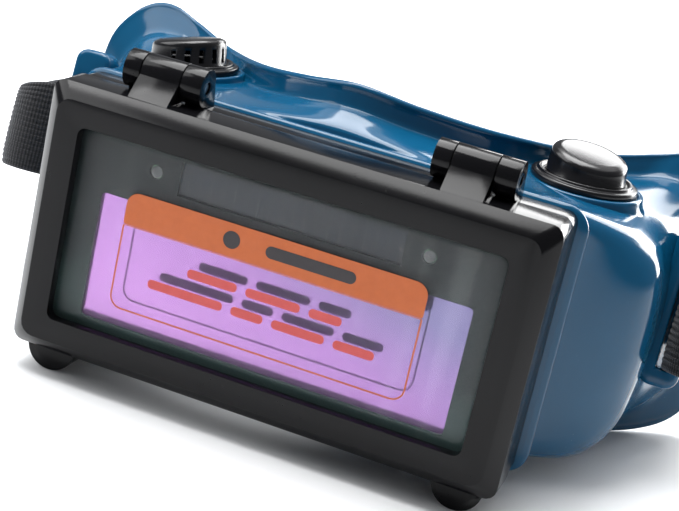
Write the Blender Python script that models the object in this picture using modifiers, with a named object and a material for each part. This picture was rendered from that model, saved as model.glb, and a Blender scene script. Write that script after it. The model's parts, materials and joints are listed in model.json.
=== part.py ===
"""Welding goggles with a flip-up auto-darkening filter.

All sizes are in metres.  The sub-parts are drawn in a design frame whose origin is the
middle of the flip frame's front plane: +X to the viewer's right, +Y towards the wearer,
+Z up.  One empty then sets the whole object down, so that the world origin lies under the
middle of its bounding box.  Tables of section points are in millimetres.
"""
import math

import bmesh
import bpy
from mathutils import Matrix, Vector

MM = 0.001
SIDES = ((-1, "left"), (1, "right"))
CLEARANCE = 0.0003          # gap between pieces that touch or seat on each other

# Where the design frame stands in the world
FRONT_Y = -0.1176           # front plane of the closed flip frame
WINDOW_Z = 0.0389           # height of the window's middle above the table

# Flip-up front frame
FRAME_WIDTH = 0.1229
FRAME_HEIGHT = 0.0653
FRAME_DEPTH = 0.0135
FRAME_CORNER = 0.0028
FRAME_CHAMFER = 0.0033
LIP_DEPTH = 0.0030          # wall in front of the lens pocket
WINDOW_WIDTH = 0.1040
WINDOW_HEIGHT = 0.0474
WINDOW_CORNER = 0.0020

# Standard filter size shared by the cover plate, the cartridge and the inner lens
PLATE_WIDTH = 0.1080
PLATE_HEIGHT = 0.0510
COVER_THICK = 0.0014
FILM_THICK = 0.0003
FILM_WIDTH = 0.1020
FILM_HEIGHT = 0.0440

# Auto-darkening cartridge
CASE_DEPTH = 0.0052
CASE_FRONT_WALL = 0.0008
CASE_SIDE_WALL = 0.0012
CASE_LID = 0.0008
VIEW_WIDTH = 0.0920
VIEW_HEIGHT = 0.0310
VIEW_DROP = 0.0069          # the viewing window sits this far below the middle
GLASS_LAP = 0.0012          # glass reaches this far behind the case wall on each side
FILTER_GLASS_THICK = 0.0010
LCD_THICK = 0.0014
CELL_STRIP_WIDTH = 0.0580
CELL_STRIP_HEIGHT = 0.0100
CELL_STRIP_THICK = 0.0007
BOARD_THICK = 0.0008
BOARD_WIDTH = 0.0720
BOARD_HEIGHT = 0.0120
SENSOR_RADIUS = 0.0017
SENSOR_SPACING = 0.0670
COIN_RADIUS = 0.00625
COIN_THICK = 0.0016
COIN_SPACING = 0.0880

# Retainer that snaps in behind the cartridge
RETAINER_LAP = 0.0020       # each side, beyond the plate size
RETAINER_THICK = 0.0017
RETAINER_OPEN_WIDTH = 0.1000
RETAINER_OPEN_HEIGHT = 0.0430

# Fixed frame on the goggle body
REAR_WIDTH = 0.1220
REAR_HEIGHT = 0.0644
REAR_FLANGE_DEPTH = 0.0077
NECK_WIDTH = 0.1140
NECK_HEIGHT = 0.0564
NECK_DEPTH = 0.0034
RIM_CORNER = 0.0060         # corner radius of the body's soft rim
HARD_CORNER = 0.0085        # corner radius of the neck and the clamp ring inside it
EYE_WIDTH = 0.1040
EYE_HEIGHT = 0.0460
CLEAR_LENS_THICK = 0.0020
CLAMP_LAP = 0.0020          # clamp ring reaches this far beyond the neck
CLAMP_THICK = 0.0022
SCREW_RADIUS = 0.0009
SCREW_HEAD_RADIUS = 0.0017
SCREW_HEAD_THICK = 0.0011
SCREW_LENGTH = 0.0062
SCREW_SPACING_Z = 0.0400

# Hinge
KNUCKLE_RADIUS = 0.0045
KNUCKLE_RISE = 0.00025      # barrels stand this clear of the flip frame's top face
FOOT_SINK = 0.0020          # how far a knuckle's web reaches down into its frame
FOOT_GAP = 0.0006           # from the plane of the hinge axis to either frame's webs
FRONT_FOOT_Y = 0.0034       # front of the flip frame's webs
REAR_FOOT = 0.0066          # from the hinge axis to the back of the fixed frame's webs
HINGE_CENTRE_X = 0.0379
KNUCKLE_SPLITS = (-0.0100, -0.0056, 0.0046, 0.0100)   # ends and splits along one hinge
PIN_RADIUS = 0.0012
BORE_LENGTH = 0.0300

# Closing tabs along the bottom edge
TAB_X = 0.0520
TAB_RADIUS = 0.0062
TAB_REACH = 0.00625         # below the flip frame's bottom edge
TAB_FRONT_Y = 0.0060
TAB_SINK = 0.0016           # how far a tab reaches up into its frame
BOSS_DEPTH = 0.0062

# Soft body
RIM_THICK = 0.0030
BODY_WALL = 0.0020
LIP_THICK = 0.0018
HALF_STEPS = 30             # sections along half of the body's outline
WAIST_X = 0.0800            # half width at which the waist is full
SIDE_WAIST = 0.0032         # the side walls draw in by this much before they flare to the lip

# Strap lugs, moulded on the body, and the line of the strap through them
STRAP_WIDTH = 0.0260
STRAP_THICK = 0.0013
STRAP_FALL = 11.0           # degrees that the strap runs down towards the back
STRAP_CENTRE_Z = 0.0012     # middle of the strap's width, at the lug
LUG_Y = 0.0700
LUG_LENGTH = 0.0080
LUG_ABOVE = 0.0232          # from the strap's middle to the lug's ends
LUG_BELOW = 0.0178
LUG_OUTER_X = 0.0890
LUG_SLOT_X = 0.0845
LUG_SLOT_WIDTH = 0.0032
LUG_ROOT = 0.0022           # how far the lug reaches into the body's side

# Vents: a base clipped into the body and a turning slotted cap
VENT_HOLE = 0.0078
VENT_BASE_RADIUS = 0.0134
VENT_BASE_THICK = 0.0026
VENT_CAP_RADIUS = 0.0101
VENT_COLLAR = 0.0012        # body pad round the base
PAD_DEPTH = 0.0060
PAD_RIM = 0.0005            # raised edge round the base's seat
VENT_TALL = 0.0070
VENT_LOW = 0.0042
VENT_SLOTS = 7
UPPER_VENT = (0.0539, 0.0638, 0.0284)
UPPER_VENT_LEAN = {-1: 7.0, 1: 0.0}   # outward, in degrees; the soft body lets them differ
LOWER_SCALE = 0.76          # the lower vents are smaller and flatter
LOWER_VENT = (0.0460, 0.0425, -0.0324)
LOWER_TALL = 0.0036
LOWER_LOW = 0.0026

# Headband
STRAP_TAIL_X = 0.0985
STRAP_BACK_Y = 0.2345
STRAP_HALF_SPREAD = 0.1040
STRAP_STEPS = 22            # points along each half of the strap behind its sliders
SLIDER_Y = 0.1180
SLIDER_LENGTH = 0.0100
SLIDER_WALL = 0.0017
SLIDER_BAR = 0.0014

# Values that follow from the ones above
HALF_FRAME = FRAME_HEIGHT / 2
AXIS_Y = FRAME_DEPTH - 0.0001
AXIS_Z = HALF_FRAME + KNUCKLE_RADIUS + KNUCKLE_RISE   # hinge axis
FILM_Y = LIP_DEPTH + CLEARANCE
COVER_Y = FILM_Y + FILM_THICK + CLEARANCE
CASE_Y = COVER_Y + COVER_THICK + CLEARANCE
RETAINER_Y = CASE_Y + CASE_DEPTH + CLEARANCE
REAR_Y = FRAME_DEPTH + CLEARANCE
RIM_Y = REAR_Y + REAR_FLANGE_DEPTH + CLEARANCE
NECK_END_Y = REAR_Y + REAR_FLANGE_DEPTH + NECK_DEPTH
CLAMP_Y = NECK_END_Y + CLEARANCE
RIM_BACK_Y = RIM_Y + RIM_THICK
CLEAR_LENS_Y = NECK_END_Y - CLEAR_LENS_THICK - CLEARANCE
STRIP_Z = (PLATE_HEIGHT / 2 - CASE_SIDE_WALL + VIEW_HEIGHT / 2 + GLASS_LAP - VIEW_DROP) / 2
STRAP_MAIN_X = STRAP_TAIL_X + STRAP_THICK + SLIDER_BAR + 2 * CLEARANCE
STRAP_FRAME = (Matrix.Translation((0.0, LUG_Y, STRAP_CENTRE_Z))
               @ Matrix.Rotation(math.radians(-STRAP_FALL), 4, "X"))
TABLE_Z = -WINDOW_Z

# Colours of the sub-parts: base colour, roughness, metallic
COLOURS = {
    "black_plastic": ((0.012, 0.012, 0.014), 0.28, 0.0),
    "blue_vinyl": ((0.010, 0.085, 0.170), 0.22, 0.0),
    "clear_plastic": ((0.80, 0.86, 0.88), 0.05, 0.0),
    "film_orange": ((0.62, 0.42, 0.60), 0.15, 0.0),
    "case_grey": ((0.060, 0.085, 0.090), 0.35, 0.0),
    "violet_glass": ((0.50, 0.28, 0.72), 0.08, 0.0),
    "dark_glass": ((0.020, 0.030, 0.035), 0.10, 0.0),
    "solar_blue": ((0.015, 0.020, 0.050), 0.25, 0.0),
    "board_green": ((0.020, 0.120, 0.050), 0.50, 0.0),
    "steel": ((0.55, 0.55, 0.56), 0.30, 1.0),
    "elastic_black": ((0.018, 0.018, 0.020), 0.85, 0.0),
}


# ---------------------------------------------------------------- scene helpers

def clear_scene():
    for obj in list(bpy.data.objects):
        bpy.data.objects.remove(obj, do_unlink=True)


def new_collection(name):
    group = bpy.data.collections.new(name)
    bpy.context.scene.collection.children.link(group)
    return group


def new_material(name):
    colour, roughness, metallic = COLOURS[name]
    mat = bpy.data.materials.new(name)
    mat.use_nodes = True
    shader = mat.node_tree.nodes["Principled BSDF"]
    shader.inputs["Base Color"].default_value = (*colour, 1.0)
    shader.inputs["Roughness"].default_value = roughness
    shader.inputs["Metallic"].default_value = metallic
    mat.diffuse_color = (*colour, 1.0)
    return mat


clear_scene()
PARTS = new_collection("welding_goggles")
CUTTERS = new_collection("cutters")
ROOT = bpy.data.objects.new("goggles_origin", None)
FLIP_AXIS = bpy.data.objects.new("flip_axis", None)


def place_empties():
    for empty in (ROOT, FLIP_AXIS):
        PARTS.objects.link(empty)
    ROOT.location = (0.0, FRONT_Y, WINDOW_Z)
    FLIP_AXIS.parent = ROOT
    FLIP_AXIS.location = (0.0, AXIS_Y, AXIS_Z)


def add_object(name, bm, collection):
    bmesh.ops.recalc_face_normals(bm, faces=bm.faces)
    mesh = bpy.data.meshes.new(name)
    bm.to_mesh(mesh)
    bm.free()
    obj = bpy.data.objects.new(name, mesh)
    collection.objects.link(obj)
    return obj


def add_part(name, bm, colour, flips=False):
    """A named sub-part.  One that flips hangs from the empty on the hinge axis."""
    obj = add_object(name, bm, PARTS)
    obj.data.materials.append(new_material(colour))
    obj.data.materials[0].name = name + "_" + colour
    obj.parent = FLIP_AXIS if flips else ROOT
    if flips:
        obj.location = (0.0, -AXIS_Y, -AXIS_Z)
    return obj


def add_tool(obj, bm, operation, label):
    """A Boolean on a part, with its tool object parented to it."""
    tool = add_object(obj.name + "_" + label, bm, CUTTERS)
    tool.parent = obj
    tool.hide_render = True
    tool.display_type = "WIRE"
    step = obj.modifiers.new(label, "BOOLEAN")
    step.operation = operation
    step.solver = "EXACT"
    step.object = tool


def smooth(obj, angle=40.0):
    obj.data.shade_smooth()
    obj.data.set_sharp_from_angle(angle=math.radians(angle))


# ---------------------------------------------------------------- shape helpers

def block(width, height, y0, y1, x=0.0, z=0.0, corner=0.0, chamfer=0.0, steps=4):
    """A box seen from the front, its front rim chamfered and its four corners rounded."""
    bm = bmesh.new()
    bmesh.ops.create_cube(bm, size=1.0)
    bmesh.ops.scale(bm, vec=(width, y1 - y0, height), verts=bm.verts)
    bmesh.ops.translate(bm, vec=(x, (y0 + y1) / 2, z), verts=bm.verts)
    if chamfer:
        rim = [e for e in bm.edges if all(abs(v.co.y - y0) < 1e-7 for v in e.verts)]
        bmesh.ops.bevel(bm, geom=rim, offset=chamfer, segments=1, profile=0.5,
                        affect="EDGES")
    if corner:
        deep = [e for e in bm.edges if abs(e.verts[0].co.y - e.verts[1].co.y) > 1e-6]
        bmesh.ops.bevel(bm, geom=deep, offset=corner, segments=steps, profile=0.5,
                        affect="EDGES")
    return bm


AXIS_TURN = {
    "X": Matrix.Rotation(math.pi / 2, 4, "Y"),
    "Y": Matrix.Rotation(math.pi / 2, 4, "X"),
    "Z": Matrix.Identity(4),
}


def rod(radius, length, axis, centre, sides=28):
    """A cylinder with its middle at centre."""
    bm = bmesh.new()
    bmesh.ops.create_cone(bm, cap_ends=True, segments=sides, radius1=radius, radius2=radius,
                          depth=length, matrix=Matrix.Translation(centre) @ AXIS_TURN[axis])
    return bm


def join(*pieces):
    """One mesh from several that stay separate bodies."""
    whole = bmesh.new()
    for piece in pieces:
        mesh = bpy.data.meshes.new("joined")
        piece.to_mesh(mesh)
        piece.free()
        whole.from_mesh(mesh)
        bpy.data.meshes.remove(mesh)
    return whole


def evaluated_mesh(holder):
    """The evaluated mesh of a helper object, its doubles welded; the helper is removed."""
    bpy.context.view_layer.update()
    graph = bpy.context.evaluated_depsgraph_get()
    mesh = bpy.data.meshes.new_from_object(holder.evaluated_get(graph))
    bm = bmesh.new()
    bm.from_mesh(mesh)
    bpy.data.meshes.remove(mesh)
    bpy.data.objects.remove(holder)
    bmesh.ops.remove_doubles(bm, verts=bm.verts, dist=1e-6)
    return bm


def outline_along_x(points, x0, x1):
    """A closed flat outline in Y and Z, drawn out from x0 to x1."""
    curve = bpy.data.curves.new("outline", "CURVE")
    curve.dimensions = "2D"
    curve.fill_mode = "BOTH"
    curve.extrude = (x1 - x0) / 2
    spline = curve.splines.new("POLY")
    spline.points.add(len(points) - 1)
    for point, (y, z) in zip(spline.points, points):
        point.co = (y, z, 0.0, 1.0)
    spline.use_cyclic_u = True
    holder = bpy.data.objects.new("outline", curve)
    bpy.context.scene.collection.objects.link(holder)
    bm = evaluated_mesh(holder)
    bpy.data.curves.remove(curve)
    stand = Matrix(((0, 0, 1, (x0 + x1) / 2), (1, 0, 0, 0), (0, 1, 0, 0), (0, 0, 0, 1)))
    bmesh.ops.transform(bm, matrix=stand, verts=bm.verts)
    return bm


def turned(profile, sides):
    """A solid turned round Z with Screw, from (radius, height) points given top first."""
    mesh = bpy.data.meshes.new("profile")
    last = len(profile) - 1
    edges = [(i, i + 1) for i in range(last)]
    if profile[0][0] > 0 or profile[last][0] > 0:
        edges.append((last, 0))
    edges = [(i, j) for i, j in edges if profile[i][0] > 0 or profile[j][0] > 0]
    mesh.from_pydata([(radius, 0.0, z) for radius, z in profile], edges, [])
    holder = bpy.data.objects.new("profile", mesh)
    bpy.context.scene.collection.objects.link(holder)
    screw = holder.modifiers.new("turn", "SCREW")
    screw.steps = sides
    screw.render_steps = sides
    screw.use_merge_vertices = True
    screw.merge_threshold = 1e-6
    bm = evaluated_mesh(holder)
    bpy.data.meshes.remove(mesh)
    return bm


def arc(cy, cz, radius, start, end, steps):
    """Points of an arc in Y and Z, angles in degrees from +Y towards +Z."""
    points = []
    for i in range(steps + 1):
        angle = math.radians(start + (end - start) * i / steps)
        points.append((cy + radius * math.cos(angle), cz + radius * math.sin(angle)))
    return points


def curve_through(table, at):
    """The point at a parameter on a smooth curve through (parameter, point) rows."""
    last = len(table) - 1
    i = 0
    while i < last - 1 and at > table[i + 1][0]:
        i += 1
    t0, p0 = table[i][0], Vector(table[i][1])
    t1, p1 = table[i + 1][0], Vector(table[i + 1][1])

    def slope(k):
        before = max(k - 1, 0)
        after = min(k + 1, last)
        rise = Vector(table[after][1]) - Vector(table[before][1])
        return rise / (table[after][0] - table[before][0])

    span = t1 - t0
    s = (at - t0) / span
    m0 = slope(i) * span
    m1 = slope(i + 1) * span
    return ((2 * s ** 3 - 3 * s ** 2 + 1) * p0 + (s ** 3 - 2 * s ** 2 + s) * m0
            + (3 * s ** 2 - 2 * s ** 3) * p1 + (s ** 3 - s ** 2) * m1)


# ---------------------------------------------------------------- flip-up front

def hinge_span(side, index):
    """The x range of one of a hinge's three knuckles; the middle one flips."""
    centre = side * HINGE_CENTRE_X
    gap = CLEARANCE / 2
    return (centre + KNUCKLE_SPLITS[index] + gap, centre + KNUCKLE_SPLITS[index + 1] - gap)


def knuckle(side, index, foot_y0, foot_y1, foot_z):
    """A barrel round the hinge axis on a web that reaches down to foot_z."""
    x0, x1 = hinge_span(side, index)
    if foot_y1 <= AXIS_Y:
        outline = arc(AXIS_Y, AXIS_Z, KNUCKLE_RADIUS, -98, 180, 20)
        outline += [(foot_y0, foot_z + 0.0012), (foot_y0, foot_z), (foot_y1, foot_z)]
    else:
        outline = arc(AXIS_Y, AXIS_Z, KNUCKLE_RADIUS, 0, 278, 20)
        outline += [(foot_y0, foot_z), (foot_y1, foot_z), (foot_y1, foot_z + 0.0012)]
    return outline_along_x(outline, x0, x1)


def half_round(side, y0, y1, bottom, edge_z):
    """A half-round tab along Y that hangs below a frame's bottom edge at edge_z."""
    tab = rod(TAB_RADIUS, y1 - y0, "Y", (side * TAB_X, (y0 + y1) / 2, bottom + TAB_RADIUS), 32)
    bmesh.ops.bisect_plane(tab, geom=tab.verts[:] + tab.edges[:] + tab.faces[:],
                           plane_co=(0, 0, edge_z + TAB_SINK), plane_no=(0, 0, 1),
                           clear_outer=True)
    bmesh.ops.holes_fill(tab, edges=[e for e in tab.edges if e.is_boundary])
    return tab


def make_flip_frame():
    body = block(FRAME_WIDTH, FRAME_HEIGHT, 0.0, FRAME_DEPTH, corner=FRAME_CORNER,
                 chamfer=FRAME_CHAMFER)
    obj = add_part("flip_frame", body, "black_plastic", flips=True)
    reach = FRAME_DEPTH + 0.002
    add_tool(obj, block(WINDOW_WIDTH, WINDOW_HEIGHT, -0.002, reach, corner=WINDOW_CORNER),
             "DIFFERENCE", "window")
    add_tool(obj, block(PLATE_WIDTH + 2 * CLEARANCE, PLATE_HEIGHT + 2 * CLEARANCE, LIP_DEPTH,
                        reach, corner=0.001, steps=2), "DIFFERENCE", "plate_pocket")
    add_tool(obj, block(PLATE_WIDTH + 2 * (RETAINER_LAP + CLEARANCE),
                        PLATE_HEIGHT + 2 * (RETAINER_LAP + CLEARANCE),
                        RETAINER_Y - CLEARANCE, reach, corner=0.001, steps=2),
             "DIFFERENCE", "retainer_pocket")
    top = HALF_FRAME - FOOT_SINK
    for side, label in SIDES:
        add_tool(obj, knuckle(side, 1, FRONT_FOOT_Y, AXIS_Y - FOOT_GAP, top), "UNION",
                 label + "_knuckle")
        add_tool(obj, half_round(side, TAB_FRONT_Y, FRAME_DEPTH - CLEARANCE,
                                 -HALF_FRAME - TAB_REACH, -HALF_FRAME), "UNION", label + "_tab")
    bore = join(*(rod(PIN_RADIUS + CLEARANCE, BORE_LENGTH, "X",
                      (s * HINGE_CENTRE_X, AXIS_Y, AXIS_Z), 20) for s in (-1, 1)))
    add_tool(obj, bore, "DIFFERENCE", "pin_bores")
    smooth(obj)


def make_cover_plate():
    obj = add_part("front_cover_plate",
                   block(PLATE_WIDTH, PLATE_HEIGHT, COVER_Y, COVER_Y + COVER_THICK,
                         corner=0.001, steps=2), "clear_plastic", flips=True)
    smooth(obj)


def make_protective_film():
    obj = add_part("protective_film",
                   block(FILM_WIDTH, FILM_HEIGHT, FILM_Y, FILM_Y + FILM_THICK, corner=0.0015,
                         steps=2), "film_orange", flips=True)
    smooth(obj)


def view_block(lap, y0, y1, corner=0.001):
    """A block in line with the viewing window, wider by lap on each side."""
    return block(VIEW_WIDTH + 2 * lap, VIEW_HEIGHT + 2 * lap, y0, y1, z=-VIEW_DROP,
                 corner=corner, steps=2)


def make_cartridge():
    inner_y = CASE_Y + CASE_FRONT_WALL
    lid_y = CASE_Y + CASE_DEPTH - CASE_LID
    front = add_part("filter_case_front",
                     block(PLATE_WIDTH, PLATE_HEIGHT, CASE_Y, lid_y - CLEARANCE, corner=0.001,
                           steps=2), "case_grey", flips=True)
    add_tool(front, block(PLATE_WIDTH - 2 * CASE_SIDE_WALL, PLATE_HEIGHT - 2 * CASE_SIDE_WALL,
                          inner_y, lid_y + 0.002), "DIFFERENCE", "tray")
    add_tool(front, view_block(0.0, CASE_Y - 0.001, inner_y + 0.001), "DIFFERENCE", "view")
    add_tool(front, block(CELL_STRIP_WIDTH - 0.003, CELL_STRIP_HEIGHT - 0.002, CASE_Y - 0.001,
                          inner_y + 0.001, z=STRIP_Z), "DIFFERENCE", "strip_window")
    eyes = join(*(rod(SENSOR_RADIUS, 0.004, "Y", (s * SENSOR_SPACING / 2, CASE_Y, STRIP_Z), 16)
                  for s in (-1, 1)))
    add_tool(front, eyes, "DIFFERENCE", "sensor_holes")
    back = add_part("filter_case_back",
                    block(PLATE_WIDTH, PLATE_HEIGHT, lid_y, lid_y + CASE_LID, corner=0.001,
                          steps=2), "case_grey", flips=True)
    add_tool(back, view_block(0.0, lid_y - 0.001, lid_y + 0.003), "DIFFERENCE", "view")
    y = inner_y + CLEARANCE
    add_part("filter_glass", view_block(GLASS_LAP, y, y + FILTER_GLASS_THICK), "violet_glass",
             flips=True)
    y += FILTER_GLASS_THICK + CLEARANCE
    add_part("lcd_shutter", view_block(GLASS_LAP, y, y + LCD_THICK), "dark_glass", flips=True)
    y = inner_y + CLEARANCE
    add_part("solar_strip", block(CELL_STRIP_WIDTH, CELL_STRIP_HEIGHT, y, y + CELL_STRIP_THICK,
                                  z=STRIP_Z), "solar_blue", flips=True)
    y += CELL_STRIP_THICK + CLEARANCE
    add_part("circuit_board", block(BOARD_WIDTH, BOARD_HEIGHT, y, y + BOARD_THICK, z=STRIP_Z),
             "board_green", flips=True)
    sensor_y0 = CASE_Y + CLEARANCE
    sensor_y1 = y - CLEARANCE
    coin_y = inner_y + 2 * CLEARANCE + COIN_THICK / 2
    for side, label in SIDES:
        sensor = rod(SENSOR_RADIUS - CLEARANCE, sensor_y1 - sensor_y0, "Y",
                     (side * SENSOR_SPACING / 2, (sensor_y0 + sensor_y1) / 2, STRIP_Z), 16)
        smooth(add_part("arc_sensor_" + label, sensor, "dark_glass", flips=True))
        coin = rod(COIN_RADIUS, COIN_THICK, "Y", (side * COIN_SPACING / 2, coin_y, STRIP_Z), 32)
        smooth(add_part("coin_cell_" + label, coin, "steel", flips=True))


def make_filter_retainer():
    obj = add_part("filter_retainer",
                   block(PLATE_WIDTH + 2 * RETAINER_LAP, PLATE_HEIGHT + 2 * RETAINER_LAP,
                         RETAINER_Y, RETAINER_Y + RETAINER_THICK, corner=0.001, steps=2),
                   "black_plastic", flips=True)
    add_tool(obj, block(RETAINER_OPEN_WIDTH, RETAINER_OPEN_HEIGHT, RETAINER_Y - 0.001,
                        RETAINER_Y + RETAINER_THICK + 0.001, corner=0.002), "DIFFERENCE",
             "opening")
    smooth(obj)


# ---------------------------------------------------------------- fixed frame

def screw_places():
    """Name, x and z of each clamp screw, in the middle of the neck's side walls."""
    x = (PLATE_WIDTH / 2 + CLEARANCE + NECK_WIDTH / 2) / 2
    z = SCREW_SPACING_Z / 2
    return [(height + "_" + label, side * x, level * z)
            for side, label in SIDES for level, height in ((1, "upper"), (-1, "lower"))]


def make_rear_frame():
    flange_end = REAR_Y + REAR_FLANGE_DEPTH
    obj = add_part("rear_frame",
                   block(REAR_WIDTH, REAR_HEIGHT, REAR_Y, flange_end, corner=FRAME_CORNER),
                   "black_plastic")
    add_tool(obj, block(NECK_WIDTH, NECK_HEIGHT, flange_end - 0.002, NECK_END_Y,
                        corner=HARD_CORNER), "UNION", "neck")
    for side, label in SIDES:
        for index in (0, 2):
            add_tool(obj, knuckle(side, index, AXIS_Y + FOOT_GAP, AXIS_Y + REAR_FOOT,
                                  REAR_HEIGHT / 2 - FOOT_SINK), "UNION",
                     label + "_knuckle_" + str(index))
        add_tool(obj, half_round(side, REAR_Y + CLEARANCE, REAR_Y + BOSS_DEPTH, TABLE_Z,
                                 -REAR_HEIGHT / 2), "UNION", label + "_boss")
    add_tool(obj, block(EYE_WIDTH, EYE_HEIGHT, REAR_Y - 0.001, NECK_END_Y + 0.001,
                        corner=0.002), "DIFFERENCE", "eye_opening")
    add_tool(obj, block(PLATE_WIDTH + 2 * CLEARANCE, PLATE_HEIGHT + 2 * CLEARANCE,
                        CLEAR_LENS_Y - CLEARANCE, NECK_END_Y + 0.002, corner=0.001, steps=2),
             "DIFFERENCE", "lens_pocket")
    bores = [rod(PIN_RADIUS + CLEARANCE, BORE_LENGTH, "X",
                 (s * HINGE_CENTRE_X, AXIS_Y, AXIS_Z), 20) for s in (-1, 1)]
    add_tool(obj, join(*bores), "DIFFERENCE", "pin_bores")
    depth = SCREW_LENGTH - CLAMP_THICK
    holes = [rod(SCREW_RADIUS + CLEARANCE, 2 * depth, "Y", (x, NECK_END_Y, z), 14)
             for _, x, z in screw_places()]
    add_tool(obj, join(*holes), "DIFFERENCE", "screw_holes")
    smooth(obj)


def make_clear_lens():
    obj = add_part("clear_inner_lens",
                   block(PLATE_WIDTH, PLATE_HEIGHT, CLEAR_LENS_Y,
                         CLEAR_LENS_Y + CLEAR_LENS_THICK, corner=0.001, steps=2),
                   "clear_plastic")
    smooth(obj)


def make_clamp_ring():
    """The ring inside the body that clamps its soft rim against the fixed frame."""
    end = CLAMP_Y + CLAMP_THICK
    obj = add_part("clamp_ring",
                   block(NECK_WIDTH + 2 * CLAMP_LAP, NECK_HEIGHT + 2 * CLAMP_LAP, CLAMP_Y,
                         end, corner=HARD_CORNER), "black_plastic")
    add_tool(obj, block(EYE_WIDTH, EYE_HEIGHT, CLAMP_Y - 0.001, end + 0.001, corner=0.002),
             "DIFFERENCE", "opening")
    holes = [rod(SCREW_RADIUS + CLEARANCE, 0.010, "Y", (x, CLAMP_Y, z), 14)
             for _, x, z in screw_places()]
    add_tool(obj, join(*holes), "DIFFERENCE", "screw_holes")
    smooth(obj)


def make_clamp_screws():
    """Four self-tapping screws, each turned in one profile about its own axis."""
    seat = CLAMP_Y + CLAMP_THICK + CLEARANCE
    length = SCREW_LENGTH - 2 * CLEARANCE
    profile = [(0.0, SCREW_HEAD_THICK), (SCREW_HEAD_RADIUS - 0.0003, SCREW_HEAD_THICK),
               (SCREW_HEAD_RADIUS, SCREW_HEAD_THICK - 0.0003), (SCREW_HEAD_RADIUS, 0.0),
               (SCREW_RADIUS, 0.0), (SCREW_RADIUS, -length + 0.0010), (0.0, -length)]
    for name, x, z in screw_places():
        obj = add_part("clamp_screw_" + name, turned(profile, 14), "steel")
        obj.matrix_local = Matrix.Translation((x, seat, z)) @ Matrix.Rotation(-math.pi / 2, 4, "X")
        smooth(obj)


def make_hinge_pins():
    for side, label in SIDES:
        x0 = side * HINGE_CENTRE_X + KNUCKLE_SPLITS[0]
        x1 = side * HINGE_CENTRE_X + KNUCKLE_SPLITS[-1]
        pin = rod(PIN_RADIUS, x1 - x0 - 4 * CLEARANCE, "X", ((x0 + x1) / 2, AXIS_Y, AXIS_Z), 20)
        smooth(add_part("hinge_pin_" + label, pin, "steel"))


# ---------------------------------------------------------------- soft body

# Right half of the body's outline, from the top middle round the temple to the nose bridge.
# The first column is the place along the outline; the points are in millimetres.
LIP_EDGE = [
    (0.00, (0.0, 38.0, 42.9)), (0.08, (15.0, 43.5, 40.4)), (0.17, (33.0, 60.0, 36.2)),
    (0.25, (52.0, 86.0, 32.4)), (0.32, (66.0, 97.0, 34.2)), (0.37, (75.0, 100.5, 36.6)),
    (0.41, (82.0, 101.5, 36.0)), (0.44, (88.0, 101.5, 32.0)), (0.48, (94.0, 101.0, 23.0)),
    (0.52, (96.0, 100.5, 8.0)), (0.57, (95.5, 100.0, -12.0)), (0.63, (91.0, 98.0, -31.0)),
    (0.69, (81.5, 90.0, -37.6)), (0.77, (65.0, 75.0, -38.2)), (0.84, (48.0, 59.0, -38.2)),
    (0.91, (30.5, 51.0, -33.5)), (0.96, (14.5, 46.5, -21.5)), (1.00, (0.0, 44.5, -15.0)),
]
LIP_ROOT = [
    (0.00, (0.0, 37.0, 37.2)), (0.08, (14.6, 42.0, 34.8)), (0.17, (32.0, 58.0, 30.6)),
    (0.25, (50.0, 81.0, 27.0)), (0.32, (62.5, 92.0, 27.8)), (0.37, (70.5, 95.0, 29.2)),
    (0.41, (77.0, 96.0, 28.6)), (0.44, (82.0, 96.5, 25.6)), (0.48, (87.0, 96.5, 18.5)),
    (0.52, (89.5, 96.0, 6.5)), (0.57, (89.3, 95.5, -11.0)), (0.63, (85.0, 93.5, -25.5)),
    (0.69, (77.0, 86.5, -32.0)), (0.77, (63.0, 74.0, -32.8)), (0.84, (47.5, 59.5, -32.8)),
    (0.91, (33.0, 50.0, -28.5)), (0.96, (16.5, 43.5, -17.0)), (1.00, (0.0, 40.5, -11.0)),
]
CREASE = [
    (0.00, (0.0, 29.6, 33.5)), (0.08, (15.0, 30.5, 32.8)), (0.17, (33.0, 36.0, 31.0)),
    (0.25, (52.0, 47.0, 28.8)), (0.32, (67.5, 48.5, 26.8)), (0.38, (75.5, 47.5, 21.8)),
    (0.44, (79.0, 46.0, 14.0)), (0.51, (80.0, 45.5, 0.0)), (0.57, (79.3, 45.5, -14.0)),
    (0.63, (77.0, 45.5, -25.5)), (0.69, (70.5, 45.5, -33.2)), (0.77, (58.0, 43.5, -33.6)),
    (0.84, (45.0, 41.0, -32.4)), (0.91, (30.0, 38.0, -32.0)), (0.96, (15.0, 35.5, -28.5)),
    (1.00, (0.0, 34.5, -25.5)),
]


def rim_point(half_w, half_h, y, place):
    """A point on the right half of a rounded rectangle; place runs as in the tables."""
    corner_top, corner_low = 0.345, 0.66
    if place < corner_top:
        s = place / corner_top
        x, z = half_w * s, half_h
    elif place < corner_low:
        s = (place - corner_top) / (corner_low - corner_top)
        x, z = half_w, half_h * (1 - 2 * s)
    else:
        s = (place - corner_low) / (1 - corner_low)
        x, z = half_w * (1 - s), -half_h
    radius = RIM_CORNER
    dx, dz = x - (half_w - radius), abs(z) - (half_h - radius)
    if dx > 0 and dz > 0:
        length = math.hypot(dx, dz)
        x = half_w - radius + dx * radius / length
        z = math.copysign(half_h - radius + dz * radius / length, z)
    return Vector((x, y, z))


def body_places():
    return [i / HALF_STEPS for i in range(HALF_STEPS + 1)]


def in_mm(table, place):
    return curve_through(table, place) * MM


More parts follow.
